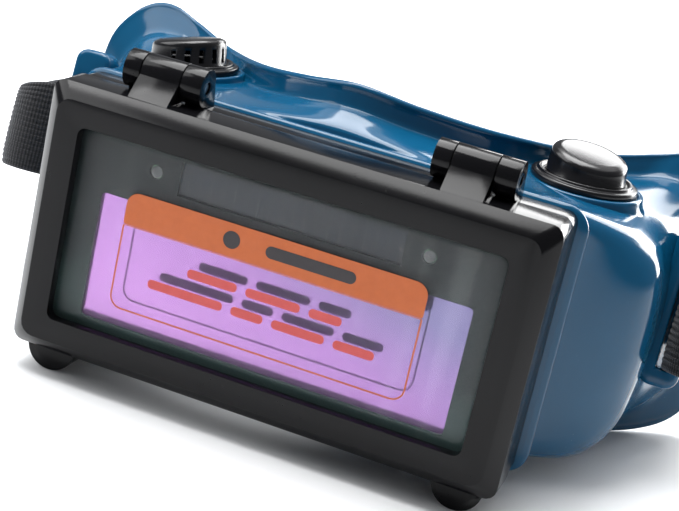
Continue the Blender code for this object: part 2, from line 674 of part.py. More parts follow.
def wall_sections():
    """Open half sections of the outer wall, from the clamped rim back to the lip's root."""
    half_w = REAR_WIDTH / 2
    half_h = REAR_HEIGHT / 2
    groove_y = CLAMP_Y + CLAMP_THICK + 0.0012
    sections = []
    for at in (0.0, 0.28, 0.56, 0.78, 1.0):
        row = []
        for place in body_places():
            groove = rim_point(half_w + 0.0008, half_h - 0.0006, groove_y, place)
            crease = in_mm(CREASE, place)
            root = in_mm(LIP_ROOT, place)
            middle = (crease + root) / 2
            middle.x -= SIDE_WAIST * min(middle.x / WAIST_X, 1.0) ** 4
            table = [(0.0, groove), (0.42, crease), (0.72, middle), (1.0, root)]
            row.append(curve_through(table, at))
        sections.append(row)
    return sections


def inward_offset(sections, distance):
    """The same sections moved in by distance along the wall's own normals."""
    moved = []
    for k, row in enumerate(sections):
        line = []
        for i, point in enumerate(row):
            around = row[min(i + 1, len(row) - 1)] - row[max(i - 1, 0)]
            if i in (0, len(row) - 1):
                around.y = around.z = 0.0
            along = sections[min(k + 1, len(sections) - 1)][i] - sections[max(k - 1, 0)][i]
            inward = along.cross(around).normalized()
            shifted = point + inward * distance
            if i in (0, len(row) - 1):
                shifted.x = 0.0
            line.append(shifted)
        moved.append(line)
    return moved


def body_rings():
    """Half rings of the whole body skin, from the clamped hole out, back and in again."""
    places = body_places()
    hole_w = NECK_WIDTH / 2 + CLEARANCE
    hole_h = NECK_HEIGHT / 2 + CLEARANCE
    inner_w = NECK_WIDTH / 2 + CLAMP_LAP + CLEARANCE
    inner_h = NECK_HEIGHT / 2 + CLAMP_LAP + CLEARANCE
    half_w = REAR_WIDTH / 2
    half_h = REAR_HEIGHT / 2

    def rect(w, h, y):
        return [rim_point(w, h, y, place) for place in places]

    rings = [
        rect(hole_w, hole_h, RIM_Y),
        rect(half_w + 0.0010, half_h - 0.0002, RIM_Y),
        rect(half_w + 0.0026, half_h + 0.0008, RIM_Y + 0.0010),
        rect(half_w + 0.0022, half_h + 0.0004, RIM_BACK_Y - 0.0002),
        rect(half_w + 0.0010, half_h - 0.0004, RIM_BACK_Y + 0.0010),
    ]
    outer = wall_sections()
    inner = inward_offset(outer, BODY_WALL)
    rings += outer
    edge = [in_mm(LIP_EDGE, place) for place in places]
    rings.append(edge)
    back = []
    for k, place in enumerate(places):
        ahead = edge[min(k + 1, len(edge) - 1)] - edge[max(k - 1, 0)]
        if k in (0, len(edge) - 1):
            ahead.y = ahead.z = 0.0
        lift = edge[k] - in_mm(LIP_ROOT, place)
        normal = ahead.cross(lift).normalized()
        if normal.y < 0:
            normal = -normal
        back.append(edge[k] + normal * LIP_THICK)
    rings.append(back)
    root_in = []
    for outer_point, inner_point, edge_point, back_point in zip(outer[-1], inner[-1], edge, back):
        root_in.append(inner_point + (back_point - edge_point))
    rings.append(root_in)
    rings += list(reversed(inner[1:]))
    rings.append(rect(inner_w, inner_h, CLAMP_Y + CLAMP_THICK + CLEARANCE))
    rings.append(rect(inner_w, inner_h, RIM_BACK_Y))
    rings.append(rect(hole_w, hole_h, RIM_BACK_Y))
    return rings


def make_body_shell():
    rings = body_rings()
    bm = bmesh.new()
    grid = [[bm.verts.new(point) for point in ring] for ring in rings]
    count = len(grid)
    for k in range(count):
        for i in range(len(grid[0]) - 1):
            here, there = grid[k], grid[(k + 1) % count]
            bm.faces.new((here[i], here[i + 1], there[i + 1], there[i]))
    bmesh.ops.mirror(bm, geom=bm.verts[:] + bm.edges[:] + bm.faces[:],
                     matrix=Matrix.Identity(4), merge_dist=1e-6, axis="X")
    bmesh.ops.remove_doubles(bm, verts=bm.verts, dist=1e-6)
    obj = add_part("body_shell", bm, "blue_vinyl")
    added = []
    cut = []
    inner_x = LUG_SLOT_X - LUG_SLOT_WIDTH / 2 - LUG_ROOT
    for side, _ in SIDES:
        lug = block(LUG_OUTER_X - inner_x, LUG_ABOVE + LUG_BELOW, -LUG_LENGTH / 2,
                    LUG_LENGTH / 2, x=side * (LUG_OUTER_X + inner_x) / 2,
                    z=(LUG_ABOVE - LUG_BELOW) / 2, corner=0.0035, steps=3)
        slot = block(LUG_SLOT_WIDTH, STRAP_WIDTH + 2 * CLEARANCE, -LUG_LENGTH, LUG_LENGTH,
                     x=side * LUG_SLOT_X)
        for tool, shapes in ((lug, added), (slot, cut)):
            bmesh.ops.transform(tool, matrix=STRAP_FRAME, verts=tool.verts)
            shapes.append(tool)
        for level in (1, -1):
            frame = vent_frame(side, level)
            scale = 1.0 if level > 0 else LOWER_SCALE
            seat = (VENT_BASE_RADIUS + VENT_COLLAR) * scale
            collar = seat + (PAD_RIM if level > 0 else BODY_WALL)
            pad = rod(collar, PAD_DEPTH, "Z", (0, 0, PAD_RIM - PAD_DEPTH / 2), 36)
            recess = turned([(0.0, PAD_DEPTH), (seat, PAD_DEPTH), (seat, 0.0),
                             (VENT_HOLE * scale, 0.0), (VENT_HOLE * scale, -2 * PAD_DEPTH),
                             (0.0, -2 * PAD_DEPTH)], 36)
            for tool, shapes in ((pad, added), (recess, cut)):
                bmesh.ops.transform(tool, matrix=frame, verts=tool.verts)
                shapes.append(tool)
    add_tool(obj, join(*added), "UNION", "lugs_and_pads")
    add_tool(obj, join(*cut), "DIFFERENCE", "slots_and_holes")
    smooth(obj, 50.0)


# ---------------------------------------------------------------- vents

def vent_frame(side, level):
    """Local frame of a vent: its origin on the body's pad, +Z out of the body."""
    if level > 0:
        x, y, z = UPPER_VENT
        turn = Matrix.Rotation(math.radians(side * UPPER_VENT_LEAN[side]), 4, "Y")
    else:
        x, y, z = LOWER_VENT
        turn = Matrix.Rotation(math.pi, 4, "X")
    return Matrix.Translation((side * x, y, z)) @ turn


def vent_base_mesh(scale, thick, sides):
    """A flanged ring with a neck and a snap bead that holds it in the body's hole."""
    neck = VENT_HOLE * scale - CLEARANCE
    bore = neck - 0.0014
    rim = VENT_BASE_RADIUS * scale
    low = CLEARANCE
    top = low + thick
    seat = low + thick * 0.75
    profile = [(bore, seat), (rim - 0.0024, seat), (rim - 0.0014, top), (rim - 0.0007, top),
               (rim, top - 0.0007), (rim, low + 0.0005), (rim - 0.0005, low), (neck, low),
               (neck, -0.0034), (neck - 0.0006, -0.0040), (bore, -0.0040)]
    return turned(profile, sides)


def vent_cap_mesh(scale, thick, tall, low_side, sides):
    """A hollow domed cap, cut on the slant, with open slots round its tall side."""
    radius = VENT_CAP_RADIUS * scale
    base = CLEARANCE + thick * 0.75 + CLEARANCE
    wall = 0.0013
    slant = (tall - low_side) / (2 * radius)
    edge = 0.0016 * scale
    steps = 3
    profile = [(0.0, 1.0 + edge - wall), (0.0, 1.0 + edge + 0.0006)]
    for i in range(steps + 1):
        angle = math.pi / 2 * (1 - i / steps)
        profile.append((radius - edge + edge * math.cos(angle), 1.0 + edge * math.sin(angle)))
    profile += [(radius, base), (radius - wall, base), (radius - wall, 1.0 - 0.0002)]
    profile = profile[1:] + profile[:1]
    bm = turned(profile, sides)
    middle = (tall + low_side) / 2
    for vert in bm.verts:
        if vert.co.z > 0.5:
            vert.co.z += base + middle - 1.0 - edge + slant * vert.co.y
    return bm


def slot_cutters(scale, tall):
    """Radial slots through the wall on the cap's tall side."""
    slots = []
    radius = VENT_CAP_RADIUS * scale
    base = 2 * CLEARANCE + VENT_BASE_THICK * 0.75
    height = tall - 0.0034 * scale
    for i in range(VENT_SLOTS):
        angle = math.radians(-66 + 132 * i / (VENT_SLOTS - 1)) + math.pi / 2
        bm = bmesh.new()
        bmesh.ops.create_cube(bm, size=1.0)
        bmesh.ops.scale(bm, vec=(0.0050, 0.0014 * scale, height * (0.6 + 0.4 * math.sin(angle))),
                        verts=bm.verts)
        top = base + 0.0009 + height * (0.6 + 0.4 * math.sin(angle)) / 2
        bmesh.ops.translate(bm, vec=(radius, 0.0, top), verts=bm.verts)
        bmesh.ops.rotate(bm, cent=(0, 0, 0), matrix=Matrix.Rotation(angle, 3, "Z"), verts=bm.verts)
        slots.append(bm)
    return join(*slots)


def make_vents():
    turns = {(-1, 1): -115.0, (1, 1): 40.0, (-1, -1): 90.0, (1, -1): -90.0}
    for (side, level), turn in turns.items():
        label = ("upper" if level > 0 else "lower") + ("_left" if side < 0 else "_right")
        scale = 1.0 if level > 0 else LOWER_SCALE
        thick = VENT_BASE_THICK if level > 0 else VENT_BASE_THICK * 0.7
        tall, low_side = (VENT_TALL, VENT_LOW) if level > 0 else (LOWER_TALL, LOWER_LOW)
        sides = 30 if level > 0 else 22
        base = add_part("vent_base_" + label, vent_base_mesh(scale, thick, sides),
                        "black_plastic")
        base.matrix_local = vent_frame(side, level)
        smooth(base)
        cap = add_part("vent_cap_" + label,
                       vent_cap_mesh(scale, thick, tall, low_side, sides), "black_plastic")
        cap.matrix_local = vent_frame(side, level) @ Matrix.Rotation(math.radians(turn), 4, "Z")
        add_tool(cap, slot_cutters(scale, tall), "DIFFERENCE", "slots")
        smooth(cap)


# ---------------------------------------------------------------- headband

# Right half of the strap's middle line beside the body, in millimetres: outward, and back
# from the lug along the strap's own fall.  It runs from the tail's end forward through the
# lug, round the front of it and back along the outside to the slider and beyond.
STRAP_FRONT = [
    (98.5, 66.0), (98.5, 54.0), (98.5, 42.0), (98.2, 34.0), (95.2, 23.0), (89.3, 12.0),
    (85.2, 5.0), (84.5, 0.0), (84.9, -5.5), (88.0, -11.0), (93.5, -13.5), (98.6, -11.5),
    (101.0, -6.0), (101.4, 2.0), (101.5, 14.0), (101.7, 26.0), (101.8, 34.0), (101.8, 42.0),
    (101.8, 54.0), (101.8, 66.0),
]
TAIL_POINTS = 7             # how many of them lie on the tail, between the lug and its end


def strap_route():
    """The strap's right half as (middle, across) pairs, tail end first."""
    tail_shift = STRAP_TAIL_X / MM - STRAP_FRONT[0][0]
    main_shift = STRAP_MAIN_X / MM - STRAP_FRONT[-1][0]
    last = len(STRAP_FRONT) - 1
    table = []
    for k, (x, back) in enumerate(STRAP_FRONT):
        shift = tail_shift * (1 - k / TAIL_POINTS) if k < TAIL_POINTS else 0.0
        if k > TAIL_POINTS:
            shift = main_shift * (k - TAIL_POINTS) / (last - TAIL_POINTS)
        table.append((k, (x + shift, back, 0.0)))
    tilt = STRAP_FRAME.to_3x3()
    route = []
    for k in range(2 * last + 1):
        middle = STRAP_FRAME @ (curve_through(table, k / 2) * MM)
        route.append((middle, tilt @ Vector((0.0, 0.0, 1.0))))
    start = route[-1][0]
    reach = STRAP_BACK_Y - start.y
    low = TABLE_Z + STRAP_WIDTH / 2
    slope = math.tan(math.radians(STRAP_FALL)) * reach
    middles = []
    for k in range(1, STRAP_STEPS + 1):
        share = k / STRAP_STEPS
        angle = math.pi / 2 * share
        x = STRAP_MAIN_X * math.cos(angle) ** 0.80
        x += (STRAP_HALF_SPREAD - STRAP_MAIN_X) * math.sin(2 * angle)
        settle = min(share / 0.7, 1.0)
        ease = 1 - (1 - settle) ** 2.2
        drop = min(start.z - low, slope)
        middles.append(Vector((x, start.y + reach * math.sin(angle), start.z - drop * ease)))
    middles[-1].x = 0.0
    for k, middle in enumerate(middles):
        behind = middles[k - 1] if k else start
        ahead = middles[k + 1] if k + 1 < len(middles) else middle + Vector((-0.01, 0.0, 0.0))
        run = (ahead - behind).normalized()
        across = Vector((0.0, 0.0, 1.0)) - run * run.z
        route.append((middle, across.normalized()))
    return route


def make_headband():
    half = strap_route()
    flip = Vector((-1.0, 1.0, 1.0))
    line = half + [(middle * flip, across * flip) for middle, across in reversed(half[:-1])]
    bm = bmesh.new()
    rings = []
    for k, (middle, across) in enumerate(line):
        ahead = line[min(k + 1, len(line) - 1)][0] - line[max(k - 1, 0)][0]
        side = across.cross(ahead).normalized() * STRAP_THICK / 2
        half_width = across * STRAP_WIDTH / 2
        corners = (middle + side + half_width, middle - side + half_width,
                   middle - side - half_width, middle + side - half_width)
        rings.append([bm.verts.new(corner) for corner in corners])
    for first, second in zip(rings, rings[1:]):
        for i in range(4):
            j = (i + 1) % 4
            bm.faces.new((first[i], first[j], second[j], second[i]))
    bm.faces.new(rings[0])
    bm.faces.new(rings[-1])
    smooth(add_part("headband", bm, "elastic_black"))


def make_sliders():
    inner_x = STRAP_TAIL_X - STRAP_THICK / 2 - CLEARANCE - SLIDER_WALL
    outer_x = STRAP_MAIN_X + STRAP_THICK / 2 + CLEARANCE + SLIDER_WALL
    height = STRAP_WIDTH + 2 * CLEARANCE + 2 * SLIDER_WALL
    back = (SLIDER_Y - LUG_Y) / math.cos(math.radians(STRAP_FALL))
    for side, label in SIDES:
        centre_x = side * (inner_x + outer_x) / 2
        half = SLIDER_LENGTH / 2
        obj = add_part("strap_slider_" + label,
                       block(outer_x - inner_x, height, -half, half, corner=0.0012, steps=2),
                       "black_plastic")
        obj.matrix_local = STRAP_FRAME @ Matrix.Translation((centre_x, back, 0.0))
        for layer_x, name in ((STRAP_TAIL_X, "tail_slot"), (STRAP_MAIN_X, "main_slot")):
            add_tool(obj, block(STRAP_THICK + 2 * CLEARANCE, STRAP_WIDTH + 2 * CLEARANCE,
                                -2 * half, 2 * half, x=side * layer_x - centre_x),
                     "DIFFERENCE", name)
        smooth(obj)


place_empties()
make_flip_frame()
make_cover_plate()
make_protective_film()
make_cartridge()
make_filter_retainer()
make_rear_frame()
make_clear_lens()
make_clamp_ring()
make_clamp_screws()
make_hinge_pins()
make_body_shell()
make_vents()
make_headband()
make_sliders()
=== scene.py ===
"""Looks for the welding goggles: fine pieces, materials, light and camera.

Lengths are in metres and tables of section points in millimetres.  A point of the design
frame, whose origin is the middle of the closed flip frame's front plane, becomes a point of
the model when DESIGN is added to it.
"""
import json
import math

import bmesh
import bpy
from mathutils import Matrix, Vector

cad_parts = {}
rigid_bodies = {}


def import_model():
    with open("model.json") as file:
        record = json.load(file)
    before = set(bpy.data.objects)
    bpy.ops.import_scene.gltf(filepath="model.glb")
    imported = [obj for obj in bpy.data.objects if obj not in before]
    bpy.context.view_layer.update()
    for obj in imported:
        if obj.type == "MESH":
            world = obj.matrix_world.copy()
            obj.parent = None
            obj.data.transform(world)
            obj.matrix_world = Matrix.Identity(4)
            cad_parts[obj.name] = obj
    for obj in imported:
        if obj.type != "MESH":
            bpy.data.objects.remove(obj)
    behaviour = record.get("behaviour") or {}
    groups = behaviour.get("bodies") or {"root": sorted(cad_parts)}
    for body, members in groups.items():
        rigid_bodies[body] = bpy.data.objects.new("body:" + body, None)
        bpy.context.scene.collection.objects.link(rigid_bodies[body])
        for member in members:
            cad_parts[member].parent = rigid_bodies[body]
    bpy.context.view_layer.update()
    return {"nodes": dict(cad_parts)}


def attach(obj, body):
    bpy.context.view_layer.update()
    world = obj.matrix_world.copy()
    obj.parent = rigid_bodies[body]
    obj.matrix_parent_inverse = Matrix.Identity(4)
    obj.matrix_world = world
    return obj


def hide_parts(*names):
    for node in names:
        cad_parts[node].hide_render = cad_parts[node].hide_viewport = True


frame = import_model()
NODES = frame["nodes"]
DESIGN = Vector((0.0, -0.1176, 0.0389))
MM = 0.001
SIDES = ((-1, "left"), (1, "right"))


# ---------------------------------------------------------------- camera, light and floor

CAMERA_AZIMUTH = 15.4046     # degrees, as are the elevation and the roll
CAMERA_ELEVATION = 17.3598
CAMERA_ROLL = 12.7562
CAMERA_DISTANCE = 0.38106
CAMERA_AIM = Vector((0.0149444, 0.0, 0.0129216))   # in the design frame
CAMERA_LENS = 91.743


def add_object(name, data):
    obj = bpy.data.objects.new(name, data)
    bpy.context.scene.collection.objects.link(obj)
    return obj


def make_camera():
    azimuth = math.radians(CAMERA_AZIMUTH)
    elevation = math.radians(CAMERA_ELEVATION)
    roll = math.radians(CAMERA_ROLL)
    back = Vector((math.sin(azimuth) * math.cos(elevation),
                   -math.cos(azimuth) * math.cos(elevation), math.sin(elevation)))
    level = Vector((math.cos(azimuth), math.sin(azimuth), 0.0))
    upright = back.cross(level)
    right = level * math.cos(roll) + upright * math.sin(roll)
    above = upright * math.cos(roll) - level * math.sin(roll)
    data = bpy.data.cameras.new("camera")
    data.lens = CAMERA_LENS
    data.sensor_width = 36.0
    data.clip_start = 0.01
    data.clip_end = 60.0
    camera = add_object("camera", data)
    turn = Matrix((right, above, back)).transposed().to_4x4()
    camera.matrix_world = Matrix.Translation(DESIGN + CAMERA_AIM + back * CAMERA_DISTANCE) @ turn
    bpy.context.scene.camera = camera


def soft_box(name, place, aim, size, power):
    data = bpy.data.lights.new(name, "AREA")
    data.shape = "RECTANGLE"
    data.size, data.size_y = size
    data.energy = power
    lamp = add_object(name, data)
    lamp.visible_camera = False
    lamp.location = place
    lamp.rotation_euler = (Vector(aim) - Vector(place)).to_track_quat("-Z", "Y").to_euler()


def make_studio():
    """A pale room: dim all round, white where the camera sees it, lit by soft boxes."""
    scene = bpy.context.scene
    scene.view_settings.view_transform = "Standard"
    scene.view_settings.look = "None"
    world = bpy.data.worlds.new("studio")
    world.use_nodes = True
    tree = world.node_tree
    sky = tree.nodes["Background"]
    sky.inputs["Color"].default_value = (0.93, 0.95, 1.0, 1.0)
    sky.inputs["Strength"].default_value = 0.24
    wall = tree.nodes.new("ShaderNodeBackground")
    wall.inputs["Color"].default_value = (1.0, 1.0, 1.0, 1.0)
    path = tree.nodes.new("ShaderNodeLightPath")
    either = tree.nodes.new("ShaderNodeMixShader")
    for source, target in ((path.outputs["Is Camera Ray"], either.inputs[0]),
                           (sky.outputs[0], either.inputs[1]),
                           (wall.outputs[0], either.inputs[2]),
                           (either.outputs[0], tree.nodes["World Output"].inputs["Surface"])):
        tree.links.new(source, target)
    scene.world = world
    even = bpy.data.lights.new("even_light", "SUN")
    even.energy = 1.4
    even.angle = math.radians(70.0)
    lamp = add_object("even_light", even)
    lamp.rotation_euler = Vector((-0.05, 0.30, 1.0)).to_track_quat("Z", "Y").to_euler()
    soft_box("top_box", (-0.14, 0.04, 0.80), (0.0, 0.0, 0.03), (0.70, 0.50), 12.0)
    soft_box("right_box", (0.44, 0.70, 0.20), (0.08, 0.0, 0.03), (0.50, 0.38), 9.0)
    soft_box("left_box", (-0.66, -0.20, 0.62), (0.0, -0.05, 0.03), (0.80, 0.60), 6.5)
    soft_box("back_box", (0.20, 0.90, 0.50), (0.0, 0.05, 0.03), (0.80, 0.30), 5.0)


def make_floor():
    bm = bmesh.new()
    bmesh.ops.create_grid(bm, x_segments=1, y_segments=1, size=10.0)
    mesh = bpy.data.meshes.new("floor")
    bm.to_mesh(mesh)
    bm.free()
    floor = add_object("floor", mesh)
    mat = bpy.data.materials.new("pale_floor")
    mat.use_nodes = True
    shader = mat.node_tree.nodes["Principled BSDF"]
    shader.inputs["Base Color"].default_value = (0.82, 0.83, 0.84, 1.0)
    shader.inputs["Roughness"].default_value = 0.75
    mesh.materials.append(mat)


# ---------------------------------------------------------------- materials

class Paint:
    """A Principled material whose patterns are built on one set of coordinates."""

    def __init__(self, name, **constants):
        self.mat = bpy.data.materials.new(name)
        self.mat.use_nodes = True
        self.tree = self.mat.node_tree
        self.shader = self.tree.nodes["Principled BSDF"]
        for socket, value in constants.items():
            self.shader.inputs[socket.replace("_", " ")].default_value = value
        self.coords = self.add("ShaderNodeTexCoord").outputs["Object"]
        self.height = None

    def add(self, kind, **settings):
        node = self.tree.nodes.new(kind)
        for name, value in settings.items():
            setattr(node, name, value)
        return node

    def link(self, source, target):
        self.tree.links.new(source, target)

    def use_uv(self, layer):
        self.coords = self.add("ShaderNodeUVMap", uv_map=layer).outputs["UV"]

    def parts(self):
        """The coordinates' X, Y and Z as separate values."""
        node = self.add("ShaderNodeSeparateXYZ")
        self.link(self.coords, node.inputs[0])
        return node.outputs

    def stretched(self, scale):
        """The coordinates drawn out along one direction, for scratches and flow marks."""
        node = self.add("ShaderNodeMapping")
        node.inputs["Scale"].default_value = scale
        self.link(self.coords, node.inputs["Vector"])
        return node.outputs["Vector"]

    def noise(self, scale, detail=3.0, rough=0.5, vector=None):
        node = self.add("ShaderNodeTexNoise")
        node.inputs["Scale"].default_value = scale
        node.inputs["Detail"].default_value = detail
        node.inputs["Roughness"].default_value = rough
        self.link(vector or self.coords, node.inputs["Vector"])
        return node.outputs["Fac"]

    def specks(self, scale, size):
        """Small round specks, 1 inside and 0 outside."""
        cells = self.add("ShaderNodeTexVoronoi")
        cells.inputs["Scale"].default_value = scale
        self.link(self.coords, cells.inputs["Vector"])
        return self.range(cells.outputs["Distance"], size, size * 0.6, 0.0, 1.0)

    def range(self, value, low, high, to_low, to_high):
        node = self.add("ShaderNodeMapRange")
        for socket, number in (("From Min", low), ("From Max", high), ("To Min", to_low),
                               ("To Max", to_high)):
            node.inputs[socket].default_value = number
        self.link(value, node.inputs["Value"])
        return node.outputs["Result"]

    def math(self, operation, first, second):
        node = self.add("ShaderNodeMath", operation=operation)
        for socket, value in zip(node.inputs, (first, second)):
            if isinstance(value, float):
                socket.default_value = value
            else:
                self.link(value, socket)
        return node.outputs[0]

    def tones(self, value, *stops):
        """A colour from (position, colour) stops."""
        ramp = self.add("ShaderNodeValToRGB")
        while len(ramp.color_ramp.elements) < len(stops):
            ramp.color_ramp.elements.new(0.5)
        for element, (position, colour) in zip(ramp.color_ramp.elements, stops):
            element.position = position
            element.color = (*colour, 1.0)
        self.link(value, ramp.inputs["Fac"])
        return ramp.outputs["Color"]

    def blend(self, share, first, second):
        node = self.add("ShaderNodeMix", data_type="RGBA")
        self.link(share, node.inputs[0])
        for socket, colour in ((node.inputs[6], first), (node.inputs[7], second)):
            if isinstance(colour, tuple):
                socket.default_value = (*colour, 1.0)
            else:
                self.link(colour, socket)
        return node.outputs[2]

    def colour(self, source):
        self.link(source, self.shader.inputs["Base Color"])

    def roughness(self, source):
        self.link(source, self.shader.inputs["Roughness"])

    def gloss(self, scale, detail, low, high, middle=(0.3, 0.7)):
        """Roughness that wanders between two values."""
        self.roughness(self.range(self.noise(scale, detail), *middle, low, high))

    def bump(self, source, depth, strength):
        """Adds a height pattern; later ones ride on the earlier."""
        node = self.add("ShaderNodeBump")
        node.inputs["Distance"].default_value = depth
        node.inputs["Strength"].default_value = strength
        self.link(source, node.inputs["Height"])
        if self.height:
            self.link(self.height, node.inputs["Normal"])
        self.height = node.outputs["Normal"]
        self.link(self.height, self.shader.inputs["Normal"])


def moulded_black(name, dark, light, low, high, grain=0.00002, **more):
    """Injection-moulded black plastic: faint flow marks, fine grain, dust and hairlines."""
    paint = Paint(name, IOR=1.5, **more)
    cloud = paint.noise(38.0, 4.0)
    dust = paint.specks(520.0, 0.10)
    thin = paint.math("MULTIPLY", dust, paint.range(paint.noise(26.0), 0.55, 0.70, 0.0, 0.35))
    paint.colour(paint.blend(thin, paint.tones(cloud, (0.35, dark), (0.70, light)),
                             (0.10, 0.10, 0.10)))
    flow = paint.noise(9.0, 5.0, 0.6, paint.stretched((1.0, 1.0, 6.0)))
    paint.roughness(paint.range(flow, 0.30, 0.72, low, high))
    paint.bump(paint.noise(2600.0, 2.0), grain, 0.35)
    paint.bump(flow, 0.00030, 0.12)
    hair = paint.noise(300.0, 2.0, 0.5, paint.stretched((1.0, 0.06, 1.3)))
    paint.bump(paint.range(hair, 0.66, 0.70, 0.0, 1.0), 0.00001, 0.30)
    return paint.mat


def make_blue_vinyl():
    paint = Paint("glossy_blue_vinyl", IOR=1.5, Coat_Weight=0.12, Coat_Roughness=0.03,
                  Specular_IOR_Level=0.24, Subsurface_Weight=0.05, Subsurface_Scale=0.004,
                  Subsurface_Radius=(0.25, 0.7, 1.0))
    base = paint.tones(paint.noise(18.0, 4.0, 0.55), (0.30, (0.002, 0.052, 0.115)),
                       (0.75, (0.003, 0.066, 0.142)))
    scuff = paint.math("MULTIPLY", paint.specks(900.0, 0.12),
                       paint.range(paint.noise(31.0), 0.56, 0.68, 0.0, 0.45))
    paint.colour(paint.blend(scuff, base, (0.10, 0.22, 0.32)))
    paint.gloss(55.0, 5.0, 0.08, 0.17, (0.30, 0.75))
    paint.bump(paint.noise(45.0, 2.0), 0.0009, 0.10)
    paint.bump(paint.noise(1500.0, 3.0), 0.00002, 0.25)
    return paint.mat


def make_clear(name, alpha, tint):
    paint = Paint(name, IOR=1.49, Alpha=alpha, Coat_Weight=0.3, Coat_Roughness=0.02)
    hair = paint.noise(160.0, 2.0, 0.5, paint.stretched((1.0, 1.0, 0.04)))
    paint.colour(paint.blend(paint.range(hair, 0.60, 0.68, 0.0, 0.5), tint, (0.80, 0.84, 0.84)))
    paint.gloss(70.0, 4.0, 0.03, 0.10, (0.35, 0.75))
    return paint.mat


def make_violet_glass():
    """Coated filter glass with a painted reflection: its colour turns greyer towards the upper
    right corner.
    """
    paint = Paint("violet_filter_glass", IOR=1.52, Metallic=0.60, Coat_Weight=0.25,
                  Coat_Roughness=0.03)
    split = paint.parts()
    # painted reflection: the base colour greys towards the upper right, with a little random tone
    across = paint.range(split["X"], -0.046, 0.046, 0.0, 0.62)
    up = paint.range(split["Z"], 0.016, 0.048, 0.0, 0.50)
    painted_reflection = paint.math("ADD", paint.math("ADD", across, up),
                      paint.range(paint.noise(22.0, 2.0), 0.3, 0.7, -0.06, 0.06))
    paint.colour(paint.tones(painted_reflection, (0.20, (0.56, 0.26, 0.68)), (0.62, (0.46, 0.22, 0.60)),
                             (1.00, (0.22, 0.19, 0.40))))
    paint.gloss(90.0, 4.0, 0.07, 0.13)
    return paint.mat


def make_case_grey():
    paint = Paint("grey_green_case", IOR=1.48, Specular_IOR_Level=0.15)
    split = paint.parts()
    # painted shade: darker towards the top and lighter towards the bottom, plus a little random
    # tone
    painted_shade_fall = paint.math("ADD", paint.range(split["Z"], 0.014, 0.064, 1.0, 0.0),
                      paint.range(paint.noise(60.0), 0.3, 0.7, -0.08, 0.08))
    paint.colour(paint.tones(painted_shade_fall, (0.10, (0.007, 0.011, 0.012)), (0.55, (0.015, 0.025, 0.026)),
                             (0.95, (0.055, 0.095, 0.090))))
    paint.gloss(300.0, 3.0, 0.28, 0.42)
    paint.bump(paint.noise(1900.0, 2.0), 0.00002, 0.5)
    return paint.mat


def make_print(name, dark, light):
    """Printed ink: a slightly uneven film of colour with pinholes."""
    paint = Paint(name, IOR=1.45)
    paint.colour(paint.tones(paint.noise(420.0, 4.0, 0.6), (0.25, dark), (0.80, light)))
    paint.gloss(800.0, 3.0, 0.32, 0.48)
    paint.bump(paint.noise(2400.0), 0.00001, 0.4)
    return paint.mat


def make_elastic():
    """Knitted elastic: fine courses across the ribs, lint and a soft sheen."""
    paint = Paint("black_elastic", Sheen_Weight=0.35, Sheen_Roughness=0.45,
                  Sheen_Tint=(0.6, 0.62, 0.66, 1.0), Specular_IOR_Level=0.25)
    paint.use_uv("strap")
    split = paint.parts()
    course = paint.math("SINE", paint.math("MULTIPLY", split["X"], 7400.0), 0.0)
    yarn = paint.math("SINE", paint.math("MULTIPLY", split["Y"], 12566.0), 0.0)
    knit = paint.math("MULTIPLY", paint.range(course, -1.0, 1.0, 0.0, 1.0),
                      paint.range(yarn, -1.0, 1.0, 0.3, 1.0))
    fuzz = paint.noise(2600.0, 4.0, 0.65)
    shade = paint.math("ADD", paint.math("MULTIPLY", knit, 0.6),
                       paint.math("MULTIPLY", fuzz, 0.4))
    paint.colour(paint.tones(shade, (0.20, (0.007, 0.007, 0.008)), (0.55, (0.022, 0.022, 0.024)),
                             (0.90, (0.060, 0.060, 0.064))))
    paint.roughness(paint.range(fuzz, 0.3, 0.7, 0.72, 0.92))
    paint.bump(knit, 0.00018, 0.75)
    paint.bump(fuzz, 0.00008, 0.5)
    return paint.mat


def make_steel():
    paint = Paint("zinc_plated_steel", Metallic=1.0, Anisotropic=0.3)
    paint.colour(paint.tones(paint.noise(240.0, 4.0), (0.3, (0.42, 0.42, 0.44)),
                             (0.7, (0.63, 0.62, 0.60))))
    paint.gloss(900.0, 3.0, 0.20, 0.38)
    paint.bump(paint.noise(1400.0, 3.0), 0.00002, 0.4)
    return paint.mat


def make_cells():
    """A strip of solar cells: dark blue with silver grid lines."""
    paint = Paint("solar_cells", IOR=1.5, Specular_IOR_Level=0.3)
    split = paint.parts()
    lines = paint.math("PINGPONG", paint.math("ADD", split["X"], 1.0), 0.00145)
    grid = paint.range(lines, 0.00008, 0.00012, 1.0, 0.0)
    cloud = paint.tones(paint.noise(150.0), (0.3, (0.007, 0.012, 0.020)),
                        (0.7, (0.011, 0.018, 0.030)))
    paint.colour(paint.blend(grid, cloud, (0.035, 0.045, 0.052)))
    paint.gloss(500.0, 3.0, 0.18, 0.28)
    return paint.mat


def make_board():
    paint = Paint("green_board", IOR=1.5)
    tracks = paint.noise(420.0, 1.0, 0.5, paint.stretched((1.0, 1.0, 0.2)))
    paint.colour(paint.tones(tracks, (0.47, (0.012, 0.085, 0.030)), (0.50, (0.030, 0.170, 0.060)),
                             (0.53, (0.012, 0.085, 0.030))))
    paint.gloss(600.0, 3.0, 0.35, 0.50)
    return paint.mat


def make_dark_glass():
    paint = Paint("dark_glass", IOR=1.52, Coat_Weight=0.8, Coat_Roughness=0.03)
    paint.colour(paint.tones(paint.noise(60.0), (0.3, (0.014, 0.022, 0.024)),
                             (0.7, (0.024, 0.036, 0.038))))
    paint.gloss(200.0, 4.0, 0.06, 0.12)
    return paint.mat


